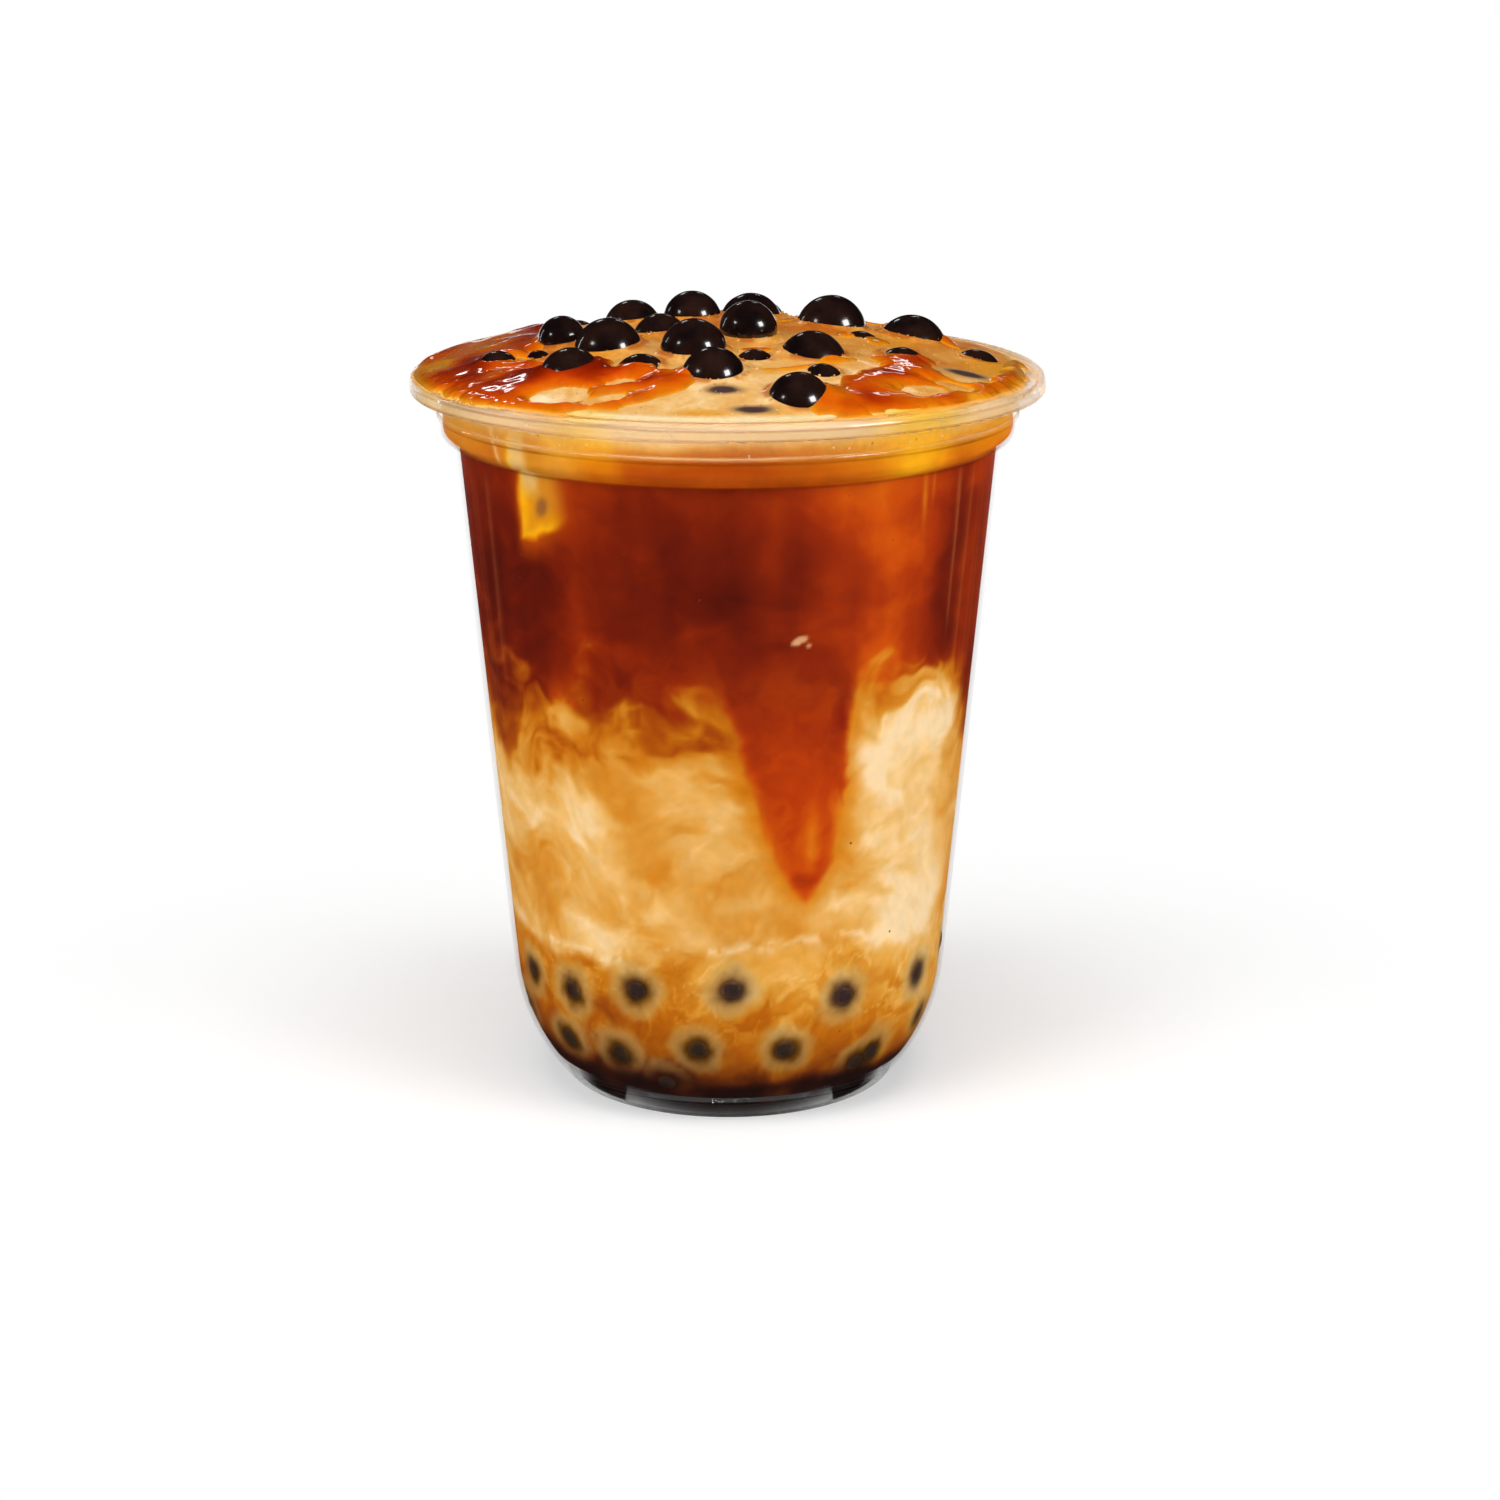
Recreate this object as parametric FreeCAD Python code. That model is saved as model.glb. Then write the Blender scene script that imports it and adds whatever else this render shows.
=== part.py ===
"""Caramel mocha with tapioca pearls, in a clear plastic cup.

Units are millimetres, +Z is up, and the origin is on the table under the middle of the cup.
The cup is one thin revolved wall. The drink inside it is three layers that run right through:
milk, coffee and the heaped foam, and the pearls sit in pockets of the foam.
"""
import FreeCAD, Part
import math
import os

from FreeCAD import Vector

# ---- Driving dimensions ---------------------------------------------------------------------

# The cup
cup_height = 113.4        # table to the top of the rim
neck_radius = 44.8        # outside of the straight neck below the rim
wall = 0.9                # thickness of the plastic, all over
rim_overhang = 4.2        # how far the rolled rim stands out from the neck
rim_drop = 2.8            # height of the rim's outer skirt
rim_round = 1.2           # rounding of the rim's upper outer edge
rim_flare = 1.9           # rounding where the inside of the neck turns out over the rim
groove_round = 0.6        # rounding in the hollow under the rolled rim
neck_depth = 10.4         # top of the rim to the stacking shoulder below the neck
neck_round = 2.3          # rounding where the neck turns in to the shoulder
shelf_width = 0.1         # flat under the shoulder, from that rounding to the wall
ridge_depth = 6.1         # top of the rim to the fill ridge that runs round the neck
ridge_stand = 0.35        # how far the fill ridge stands out
ridge_half_height = 0.5   # half the height of the fill ridge
wall_draft = 5.24         # degrees by which the wall leans in towards the foot
corner_height = 18.0      # where the wall starts to turn in to the foot
corner_radius = 30.0      # the big round corner above the foot
foot_ring = 1.2           # width of the ring that the cup stands on
foot_recess = 3.6         # height of the hollow under the floor
recess_draft = 0.4        # how much narrower the hollow is at its top
floor_wall = 1.0          # thickness of the floor
gate_radius = 2.0         # dimple under the middle of the floor, where the plastic went in
gate_depth = 0.3

# The drink
fill_gap = 0.1            # clearance between the drink and the plastic
milk_level = 68.0         # where the milk gives way to coffee
dome_rise = 6.0           # how far the foam's heap stands above the rim

# The pearls
pearl_size = 10.0         # diameter of a middling cooked pearl
pearl_gap = 0.2           # least distance between two pearls
pocket_gap = 0.1          # clearance between a pearl and its pocket in the foam
collar_rise = 0.8         # how far the foam climbs round a pearl that stands well out
collar_lip = 0.3          # width of the top of that collar
collar_spread = 4.5       # how far the collar runs out at its foot
collar_height = 2.4       # height of the collar, most of it buried in the heap
edge_margin = 1.5         # least distance from a pearl's side to the edge of the foam

# Each pearl on the heap: direction in degrees, distance from the middle as a share of the
# foam's radius, diameter as a share of pearl_size, and the height that shows in millimetres.
# Direction -90 faces the front.
heap = [
    (-170, 0.56, 0.76, 4.5),
    (-148, 0.46, 1.06, 4.6),
    (138, 0.44, 0.92, 3.7),
    (114, 0.31, 0.92, 4.5),
    (-168, 0.23, 0.90, 3.0),
    (-107, 0.37, 1.03, 4.8),
    (79, 0.40, 1.02, 3.9),
    (-68, 0.18, 0.90, 5.6),
    (26, 0.39, 1.10, 5.0),
    (13, 0.64, 1.14, 3.6),
    (-53, 0.46, 1.08, 3.5),
    (-94, 0.61, 0.98, 3.9),
    (-135, 0.71, 0.98, 3.7),
    (-119, 0.57, 0.92, 1.7),
    (-79, 0.46, 0.69, 1.4),
    (-3, 0.44, 0.82, 0.9),
    (-62, 0.65, 0.70, 1.4),
    (-25, 0.63, 0.98, 1.4),
    (-4, 0.83, 0.88, 1.3),
    (-74, 0.83, 1.00, 3.5),
    (-160, 0.80, 0.72, 2.4),
    (-158, 0.67, 0.46, 1.2),
    (138, 0.82, 0.74, 0.8),
    (78, 0.84, 0.76, 0.8),
    (59, 0.69, 0.90, 3.4),
    (37, 0.79, 0.88, 2.4),
    (101, 0.65, 0.88, 3.0),
    (120, 0.68, 0.86, 2.9),
    (80, 0.62, 0.88, 2.8),
    (147, 0.62, 0.70, 1.2),
]

# ---- Sizes that follow from them ------------------------------------------------------------

rim_radius = neck_radius + rim_overhang
shoulder_height = cup_height - neck_depth
wall_top_radius = neck_radius - neck_round - shelf_width
wall_lean = math.tan(math.radians(wall_draft))
wall_bottom_radius = wall_top_radius - (shoulder_height - corner_height) * wall_lean
ridge_height = cup_height - ridge_depth
foam_level = ridge_height         # the cup is filled up to its ridge, and the foam lies above
foam_radius = neck_radius - wall + rim_flare

# The centre of the big corner lies square to the wall, corner_radius in from its lower end.
corner_centre_r = wall_bottom_radius - corner_radius * math.cos(math.radians(wall_draft))
corner_centre_z = corner_height + corner_radius * math.sin(math.radians(wall_draft))
foot_radius = corner_centre_r + math.sqrt(corner_radius ** 2 - corner_centre_z ** 2)


# ---- Helpers --------------------------------------------------------------------------------

def point(r, z):
    """A point of a profile: r out from the axis, z above the table."""
    return Vector(r, 0, z)


def arc_point(centre_r, centre_z, radius, degrees):
    """The point of a circle at an angle, 0 pointing outwards and 90 pointing up."""
    angle = math.radians(degrees)
    return point(centre_r + radius * math.cos(angle), centre_z + radius * math.sin(angle))


def outline(*steps):
    """Edges from a list of steps: a point is a straight run to it, and a pair of points is an
    arc through the first that ends at the second."""
    edges = []
    here = steps[0]
    for step in steps[1:]:
        if isinstance(step, tuple):
            edges.append(Part.Arc(here, step[0], step[1]).toShape())
            here = step[1]
        else:
            edges.append(Part.LineSegment(here, step).toShape())
            here = step
    return edges


def turned(edges):
    """The solid that a closed profile makes when it is turned about the axis."""
    face = Part.Face(Part.Wire(edges))
    return face.revolve(Vector(0, 0, 0), Vector(0, 0, 1), 360)


def arc_step(centre_r, centre_z, radius, start, end):
    """The two points of an arc step: halfway from start to end, and at the end, in degrees."""
    return (arc_point(centre_r, centre_z, radius, (start + end) / 2),
            arc_point(centre_r, centre_z, radius, end))


# ---- The cup --------------------------------------------------------------------------------

def corner_at(offset, height):
    """How far out the big corner lies at a height, moved in by an offset from its outside."""
    radius = corner_radius - offset
    return corner_centre_r + math.sqrt(radius ** 2 - (height - corner_centre_z) ** 2)


def corner_step(offset, low):
    """The arc step up the big corner, from a point on it at the height low to the wall."""
    radius = corner_radius - offset
    start = math.degrees(math.asin((low - corner_centre_z) / radius))
    end = -wall_draft
    return arc_step(corner_centre_r, corner_centre_z, radius, start, end)


def cup_inside(gap, top):
    """The profile of the space in the cup, shrunk by a gap: floor, big corner, wall, shoulder,
    neck and the flare over the rim. It is closed by the steps in top, back to the axis."""
    offset = wall + gap
    floor = foot_recess + floor_wall + gap
    shelf = shoulder_height + offset
    wall_inset = offset / math.cos(math.radians(wall_draft))
    turn_r = neck_radius - neck_round
    turn_z = shoulder_height + neck_round
    flare_z = cup_height - rim_flare
    start = point(0, floor)
    return outline(
        start,
        point(corner_at(offset, floor), floor),
        corner_step(offset, floor),
        point(wall_top_radius - wall_inset + (shelf - shoulder_height) * wall_lean, shelf),
        point(turn_r, shelf),
        arc_step(turn_r, turn_z, neck_round - offset, -90, 0),
        point(neck_radius - offset, flare_z),
        arc_step(foam_radius, flare_z, rim_flare + gap, 180, 90),
        *top,
        start)


def make_cup():
    """The clear cup: one outside profile with its rolled rim, less the space inside."""
    rim_low = cup_height - rim_drop
    lip = wall / 2
    skirt = rim_radius - wall
    under = cup_height - wall
    turn_r = neck_radius - neck_round
    turn_z = shoulder_height + neck_round
    recess_r = foot_radius - foot_ring
    outside = outline(
        point(0, foot_recess + gate_depth),
        point(gate_radius, foot_recess + gate_depth),
        point(gate_radius, foot_recess),
        point(recess_r - recess_draft - groove_round, foot_recess),
        arc_step(recess_r - recess_draft - groove_round, foot_recess - groove_round,
                groove_round, 90, 0),
        point(recess_r, 0),
        point(foot_radius, 0),
        corner_step(0, 0),
        point(wall_top_radius, shoulder_height),
        point(turn_r, shoulder_height),
        arc_step(turn_r, turn_z, neck_round, -90, 0),
        point(neck_radius, ridge_height - ridge_half_height),
        (point(neck_radius + ridge_stand, ridge_height),
         point(neck_radius, ridge_height + ridge_half_height)),
        point(neck_radius, under - groove_round),
        arc_step(neck_radius + groove_round, under - groove_round, groove_round, 180, 90),
        point(skirt - groove_round, under),
        arc_step(skirt - groove_round, under - groove_round, groove_round, 90, 0),
        point(skirt, rim_low + lip),
        (point(skirt + lip, rim_low), point(rim_radius, rim_low + lip)),
        point(rim_radius, cup_height - rim_round),
        arc_step(rim_radius - rim_round, cup_height - rim_round, rim_round, 0, 90),
        point(0, cup_height),
        point(0, foot_recess + gate_depth))
    mouth = [point(foam_radius, cup_height + wall), point(0, cup_height + wall)]
    return turned(outside).cut(turned(cup_inside(0, mouth)))


# ---- The drink ------------------------------------------------------------------------------

def dome_height(r):
    """Height of the foam's heap at a distance from the axis: part of a large sphere."""
    edge = cup_height + fill_gap
    radius = (foam_radius ** 2 + dome_rise ** 2) / (2 * dome_rise)
    return edge + dome_rise - radius + math.sqrt(radius ** 2 - r ** 2)


def settled_pearls():
    """Each pearl as (x, y, z, radius, shown). Pearls that would touch shoulder each other
    aside, and none goes nearer to the foam's edge than edge_margin."""
    pearls = []
    for degrees, share, size, shown in heap:
        angle = math.radians(degrees)
        r = share * foam_radius
        pearls.append([r * math.cos(angle), r * math.sin(angle), size * pearl_size / 2, shown])
    for _ in range(400):
        for i, first in enumerate(pearls):
            for second in pearls[:i]:
                apart = math.hypot(first[0] - second[0], first[1] - second[1])
                short = first[2] + second[2] + pearl_gap - apart
                if short > 0:
                    for axis in (0, 1):
                        push = (first[axis] - second[axis]) / apart * short / 2
                        first[axis] += push
                        second[axis] -= push
            r = math.hypot(first[0], first[1])
            limit = foam_radius - edge_margin - first[2]
            if r > limit:
                first[0] *= limit / r
                first[1] *= limit / r
    return [(x, y, dome_height(math.hypot(x, y)) + shown - radius, radius, shown)
            for x, y, radius, shown in pearls]


def collar(x, y, z, radius, shown):
    """The foam that climbs round a pearl: a low cone whose top is just wider than the pearl
    where the foam meets it."""
    rise = min(collar_rise, shown / 4)
    water = dome_height(math.hypot(x, y)) + rise
    reach = math.sqrt(max(radius ** 2 - (water - z) ** 2, 0)) + collar_lip
    return Part.makeCone(reach + collar_spread, reach, collar_height,
                         Vector(x, y, water - collar_height))


def make_drink(pearls):
    """The three layers: milk and coffee up to the fill ridge, and the foam heaped above it,
    with its collars and a pocket for each pearl. The collars stay inside the foam's edge."""
    middle_r = foam_radius / 2
    heap_arc = (point(middle_r, dome_height(middle_r)),
                point(0, cup_height + fill_gap + dome_rise))
    whole = turned(cup_inside(fill_gap, [heap_arc]))
    width = 2 * rim_radius
    below_milk = Part.makeCylinder(width, milk_level)
    below_foam = Part.makeCylinder(width, foam_level)
    above_rim = Part.makeCylinder(foam_radius, 2 * dome_rise + pearl_size,
                                  Vector(0, 0, cup_height + fill_gap))
    milk = whole.common(below_milk)
    coffee = whole.common(below_foam).cut(below_milk)
    foam = whole.cut(below_foam)
    foam = foam.multiFuse([collar(*pearl).common(above_rim) for pearl in pearls])
    pockets = [Part.makeSphere(radius + pocket_gap, Vector(x, y, z))
               for x, y, z, radius, shown in pearls]
    return milk, coffee.cut(pockets), foam.cut(pockets)


# ---- Build ----------------------------------------------------------------------------------

def save(name, shape):
    """Write one node, which has to be a single sound solid."""
    if len(shape.Solids) != 1 or not shape.isValid():
        raise ValueError("%s is %d solids, valid %s" % (name, len(shape.Solids), shape.isValid()))
    shape.Solids[0].exportStep("parts/%s.step" % name)
    box = shape.BoundBox
    print("%-14s %8.1f mm3  z %6.2f to %6.2f" % (name, shape.Volume, box.ZMin, box.ZMax))


def main():
    """Build every node and write it to parts/."""
    os.makedirs("parts", exist_ok=True)
    pearls = settled_pearls()
    save("cup", make_cup())
    milk, coffee, foam = make_drink(pearls)
    save("milk_layer", milk)
    save("coffee_layer", coffee)
    save("foam_top", foam)
    for number, (x, y, z, radius, shown) in enumerate(pearls, 1):
        save("pearl_%02d" % number, Part.makeSphere(radius, Vector(x, y, z)))


main()
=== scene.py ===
# %% [markdown]
# # An iced caramel mocha in a clear cup
#
# The solids of this drink come packed as a frame: a thin clear cup, two layers of drink, a
# heap of foam and thirty tapioca pearls. They have the right size, but a plain finish. This
# lesson dresses them. The drink becomes marbled milk and coffee pressed against the plastic,
# the foam gets its pores and its climb round every pearl, and caramel sauce runs over it all.
# The frame is loaded first, because every place below is read from it.

# %% The frame
import itertools
import math

import bpy
import numpy as np
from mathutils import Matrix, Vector


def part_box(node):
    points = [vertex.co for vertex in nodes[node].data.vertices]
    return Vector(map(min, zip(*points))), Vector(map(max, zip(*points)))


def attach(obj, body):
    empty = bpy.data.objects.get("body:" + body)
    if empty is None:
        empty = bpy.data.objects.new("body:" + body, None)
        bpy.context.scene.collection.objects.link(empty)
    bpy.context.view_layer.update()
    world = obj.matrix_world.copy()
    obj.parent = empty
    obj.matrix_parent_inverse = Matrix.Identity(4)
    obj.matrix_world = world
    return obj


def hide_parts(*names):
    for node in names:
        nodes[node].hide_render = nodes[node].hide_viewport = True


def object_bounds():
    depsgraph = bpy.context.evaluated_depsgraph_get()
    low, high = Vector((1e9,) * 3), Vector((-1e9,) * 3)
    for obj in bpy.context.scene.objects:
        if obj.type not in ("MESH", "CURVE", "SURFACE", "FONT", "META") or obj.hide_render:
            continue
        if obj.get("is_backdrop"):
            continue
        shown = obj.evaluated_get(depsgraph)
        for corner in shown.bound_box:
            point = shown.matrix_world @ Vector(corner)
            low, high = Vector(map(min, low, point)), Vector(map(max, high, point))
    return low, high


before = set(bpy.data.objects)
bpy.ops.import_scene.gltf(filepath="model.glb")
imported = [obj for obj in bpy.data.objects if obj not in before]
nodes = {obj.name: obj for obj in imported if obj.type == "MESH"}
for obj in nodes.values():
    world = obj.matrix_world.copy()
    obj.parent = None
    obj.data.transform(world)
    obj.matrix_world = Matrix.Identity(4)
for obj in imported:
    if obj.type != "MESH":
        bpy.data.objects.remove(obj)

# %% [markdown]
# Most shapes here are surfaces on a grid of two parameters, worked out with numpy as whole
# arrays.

MM = 0.001
FULL_TURN = 2 * math.pi
cad_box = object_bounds()
pearl_nodes = sorted(name for name in nodes if name.startswith("pearl_"))
print("solids:", len(nodes), "of them pearls:", len(pearl_nodes))

# %% [markdown]
# ## Reading the cup's inside from the solids
#
# The drink has to fit the cup's inside exactly, or a gap of air would show through the
# plastic. The layers of drink are solids of revolution, so their corner points lie in rings.
# Each ring's height and radius give the profile of the inside. Where the wall ends in a
# shoulder the profile steps outwards, so the straight wall is carried on up to that step.

# %% The inside profile
def ring_profile(name):
    """Heights and radii of a node's rings: for every height at which it has points, the
    largest distance of those points from the axis."""
    mesh = nodes[name].data
    points = np.empty(len(mesh.vertices) * 3)
    mesh.vertices.foreach_get("co", points)
    points = points.reshape(-1, 3)
    heights = np.round(points[:, 2], 5)
    radii = np.hypot(points[:, 0], points[:, 1])
    levels = np.unique(heights)
    widest = np.array([radii[heights == level].max() for level in levels])
    return levels, widest


def wall_line(level):
    """Radius of the straight wall at a level: the coffee's lowest radius plus the lean times the
    height above it."""
    return coffee_radii[0] + lean * (level - coffee_levels[0])


milk_levels, milk_radii = ring_profile("milk_layer")
coffee_levels, coffee_radii = ring_profile("coffee_layer")
lean = (coffee_radii[1] - coffee_radii[0]) / (coffee_levels[1] - coffee_levels[0])
past_wall = coffee_radii > wall_line(coffee_levels) + 0.3 * MM
shoulder_level = coffee_levels[past_wall][0]
neck_inside = coffee_radii[-1]
milk_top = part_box("milk_layer")[1].z
foam_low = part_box("foam_top")[0].z
cup_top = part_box("cup")[1].z
rim_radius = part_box("cup")[1].x

flare_levels, flare_radii = ring_profile("foam_top")
on_flare = (flare_levels < cup_top + 0.11 * MM) & (flare_radii > neck_inside - 0.1 * MM)
flare_levels = flare_levels[on_flare]
flare_radii = flare_radii[on_flare]
foam_edge = flare_radii[-1]
print("wall leans %.4f, shoulder at %.1f mm, neck %.2f mm, foam edge %.2f mm at %.2f mm"
      % (lean, shoulder_level / MM, neck_inside / MM, foam_edge / MM, flare_levels[-1] / MM))
print("milk up to %.1f mm, foam from %.1f mm" % (milk_top / MM, foam_low / MM))

# %% [markdown]
# ## Soft noise
#
# Milk in coffee, foam and sauce are uneven in the same way: large soft shapes that carry
# smaller ones. A picture could be wrapped round the cup, but it would end in a seam. Noise in
# space has none. Random numbers sit at the corners of a lattice of cells, and any point takes
# a smooth blend of the eight corners round it.

# %% Noise in space
CELLS = 64
SEED_STEP = 17.3
NOISE_SPREAD = 0.11
lattice = np.random.default_rng(7).random((CELLS, CELLS, CELLS))


def soft_noise(places, size, seed):
    """Value noise from 0 to 1: places over the cell size give a cell and a share within it,
    and the cell's eight corner values are blended by 3t² − 2t³ of the share on each axis."""
    spread = places / size + SEED_STEP * seed
    cell = np.floor(spread).astype(int)
    share = spread - cell
    share = share * share * (3 - 2 * share)
    total = np.zeros(places.shape[:-1])
    for corner in itertools.product((0, 1), repeat=3):
        weight = np.prod(np.where(corner, share, 1 - share), axis=-1)
        at = (cell + corner) % CELLS
        total += weight * lattice[at[..., 0], at[..., 1], at[..., 2]]
    return total


def cloud_noise(places, size, seed, octaves=4, tall=1):
    """Cloud noise from about -0.5 to 0.5: soft noise at a size and at each half of it, each with
    half the weight of the one before, less its mean. It can be drawn out in height."""
    places = places / np.array([1, 1, tall])
    total = np.zeros(places.shape[:-1])
    weights = 0
    for octave in range(octaves):
        weight = 0.5 ** octave
        total += weight * (soft_noise(places, size * weight, seed + octave) - 0.5)
        weights += weight
    return total / weights


def even_noise(places, size, seed, octaves=4, tall=1):
    """Cloud noise over its usual spread, so that it lies mostly between -1 and 1."""
    return cloud_noise(places, size, seed, octaves, tall) / NOISE_SPREAD


def smooth_step(low, high, value):
    """0 up to low, 1 from high on, and 3t² − 2t³ of the share of the way between them."""
    share = np.clip((value - low) / (high - low), 0, 1)
    return share * share * (3 - 2 * share)


def bell(*values):
    """1 where all the values are 0, falling as e to the minus sum of their squares."""
    return np.exp(-sum(value ** 2 for value in values))


def on_plane(x, y):
    """Places in the plane of the top, as the noise takes them."""
    return np.stack([x, y, 0 * x], axis=-1)


def oval(x, y, at_x, at_y, wide, deep):
    """A soft oval, 1 at its middle: a bell of the distances in half widths and half depths."""
    return bell((x - at_x) / wide, (y - at_y) / deep)


def swirled(places, size, amount, seed):
    """Places stirred like milk in coffee: each is moved by three noises, one an axis, at a size
    and then at a third of it, by the amount in mm and a third of that."""
    for share in (1, 1 / 3):
        moves = [even_noise(places, size * share, seed + 5 * axis, octaves=3) for axis in range(3)]
        places = places + amount * share * np.stack(moves, axis=-1)
    return places


print("cloud noise spreads %.2f" % cloud_noise(np.random.default_rng(1).random((999, 3)), 0.2, 3).std())

# %% [markdown]
# ## Colours
#
# Colours are written as they look, in screen values from 0 to 255, and blended so. A mesh
# keeps them as light values, so they are converted once, when a finished piece is painted.

# %% Colour tools
def ramp(share, stops):
    """The colour at a share along a ramp: straight between neighbouring (share, colour) stops."""
    at = [stop[0] for stop in stops]
    colours = np.array([stop[1] for stop in stops], float)
    return np.stack([np.interp(share, at, colours[:, k]) for k in range(3)], axis=-1)


def tint(under, over, share):
    """One colour laid over another: under plus the share of the way to over."""
    return under + (np.asarray(over, float) - under) * np.asarray(share)[..., None]


def to_light(colour):
    """Screen values 0 to 255 as light: (value + 0.055)/1.055 to the power 2.4, and value/12.92
    in the darkest part."""
    value = np.clip(np.asarray(colour, float) / 255, 0, 1)
    return np.where(value > 0.04045, ((value + 0.055) / 1.055) ** 2.4, value / 12.92)


print("half grey as light:", to_light([128]).round(3))

# %% [markdown]
# ## The marbling of the drink
#
# Coffee stands over milk, and where they meet they have run into each other. The whole of it
# is one number at each place on the wall: the share of milk, from none in the darkest coffee to
# all in the palest cream. The share follows the height, bends with noise, and is read off a
# ramp of colours: a redder one for the coffee, a more golden one where milk has come in.
# Features, such as the tongue of caramel that sinks through the milk, are laid over it
# afterwards.
#
# A place is given by its turn in degrees from the front, to the right, and its level in
# millimetres.

# %% Places on the wall
DRUM = 38
MM_A_DEGREE = math.radians(DRUM)
FAR = 9.0
COFFEE_RAMP = [
    (0.00, (90, 15, 0)), (0.12, (120, 27, 1)), (0.24, (148, 40, 1)), (0.36, (178, 57, 1)),
    (0.48, (207, 82, 1)), (0.60, (220, 104, 3)), (1.0, (240, 170, 50)),
]
MILK_RAMP = [
    (0.00, (98, 20, 0)), (0.12, (124, 35, 1)), (0.24, (146, 54, 1)), (0.36, (170, 76, 2)),
    (0.48, (194, 106, 8)), (0.58, (212, 134, 28)), (0.68, (222, 154, 54)),
    (0.80, (232, 178, 90)), (0.90, (243, 204, 136)), (1.00, (249, 224, 180)),
]


def turned(radius, turn, level):
    """Points at a radius, a turn in degrees and a level: the radius times the sine of the turn,
    minus the radius times its cosine, and the level."""
    angle = np.radians(turn)
    return np.stack([radius * np.sin(angle), -radius * np.cos(angle), level + 0 * angle], axis=-1)


def on_wall(turn, level):
    """The place in space of a turn in degrees and a level in mm, on a drum of 38 mm."""
    return turned(DRUM, turn, level)


def read_marks(value, marks, period=None):
    """What (value, result) marks give for a value: straight between neighbouring marks."""
    return np.interp(value, [mark[0] for mark in marks], [mark[1] for mark in marks], period=period)


def round_the_cup(turn, marks):
    """Marks read at a turn, joined up at the back, where the turn jumps from 180 to -180."""
    return read_marks(turn, marks, period=360)


def turn_from(turn, at_turn):
    """Degrees from one turn to another, the shorter way round."""
    return (turn - at_turn + 180) % 360 - 180


def spot(turn, level, at_turn, at_level, wide, tall, slope=0.0):
    """A soft spot, 1 at its middle: a bell of the distances in half widths in mm on the drum and
    in half heights in mm. A slope tips it: mm up for each mm to the right."""
    across = turn_from(turn, at_turn) * MM_A_DEGREE
    return bell(across / wide, (level - at_level - slope * across) / tall)


# %% [markdown]
# The share of milk comes first. The coffee is darkest at the left edge and brightest right of
# the middle, in clouds and upright streaks. The milk is palest at the right. The level where they
# meet goes up and down, and the depth over which they blend is widest at the left. The places
# are stirred before the noise is read, so that the clouds end in curls, as poured milk does.

# %% The share of milk
COFFEE_SHARE = [(-150, 0.2), (-100, 0.1), (-75, 0.12), (-62, 0.02), (-52, 0.06), (-42, 0.11),
                (-32, 0.19), (-22, 0.13), (-12, 0.14), (-2, 0.12), (8, 0.15), (18, 0.24),
                (28, 0.35), (36, 0.44), (42, 0.41), (48, 0.29), (57, 0.14), (66, 0.23), (80, 0.16),
                (130, 0.14)]
CREAM_SHARE = [(-150, 0.8), (-100, 0.8), (-66, 0.78), (-52, 0.76), (-42, 0.78), (-32, 0.79),
               (-20, 0.77), (-10, 0.78), (2, 0.81), (20, 0.76), (30, 0.82), (38, 0.92), (48, 0.94),
               (58, 0.94), (66, 0.87), (74, 0.74), (84, 0.7), (110, 0.78), (130, 0.82)]
MEETING_LEVEL = [(-150, 70), (-110, 66), (-80, 64), (-62, 63), (-52, 66), (-42, 67), (-32, 69.5),
                 (-22, 68.5), (-12, 65), (-2, 63.5), (8, 61), (28, 65), (38, 66), (48, 68), (58, 68),
                 (66, 65), (90, 60), (130, 67)]
MEETING_DEPTH = [(-150, 10), (-70, 18), (-52, 17), (-40, 14), (-22, 10), (-12, 7.5), (-2, 7.5),
                 (8, 9), (35, 9), (50, 8), (66, 9), (100, 11)]


def milk_share(turn, level):
    """Share of milk from 0 to 1, and how far the two have met: the coffee's share above the
    meeting level and the cream's below it, blended over the meeting depth. Stirred clouds bend
    the blend and mottle both, and the streaks are the same noise drawn out in height."""
    place = on_wall(turn, level)
    stirred = swirled(place, 13, 1.7, 21)
    clouds = even_noise(stirred, 12, 36, tall=1 / 1.25)
    wisps = even_noise(stirred, 5.5, 41, octaves=3, tall=1 / 1.7)
    streaks = even_noise(place, 4.6, 46, octaves=3, tall=9)
    bent_turn = turn + (stirred[..., 0] - place[..., 0]) * 0.9
    lighter = smooth_step(88, 78, level) * smooth_step(10, -6, turn) * smooth_step(-60, -45, turn)
    coffee = round_the_cup(bent_turn, COFFEE_SHARE) + 0.1 * smooth_step(95, 102, level)
    coffee = coffee + 0.07 * lighter + 0.035 * clouds + 0.012 * wisps + 0.02 * streaks
    cream = round_the_cup(bent_turn, CREAM_SHARE) + 0.048 * clouds + 0.04 * wisps
    above = (level - round_the_cup(turn, MEETING_LEVEL)) / round_the_cup(turn, MEETING_DEPTH)
    milk = smooth_step(1, -1, above - 0.27 * clouds - 0.1 * wisps - 0.05 * streaks)
    return np.maximum(coffee, 0) * (1 - milk) + cream * milk, milk
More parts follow.
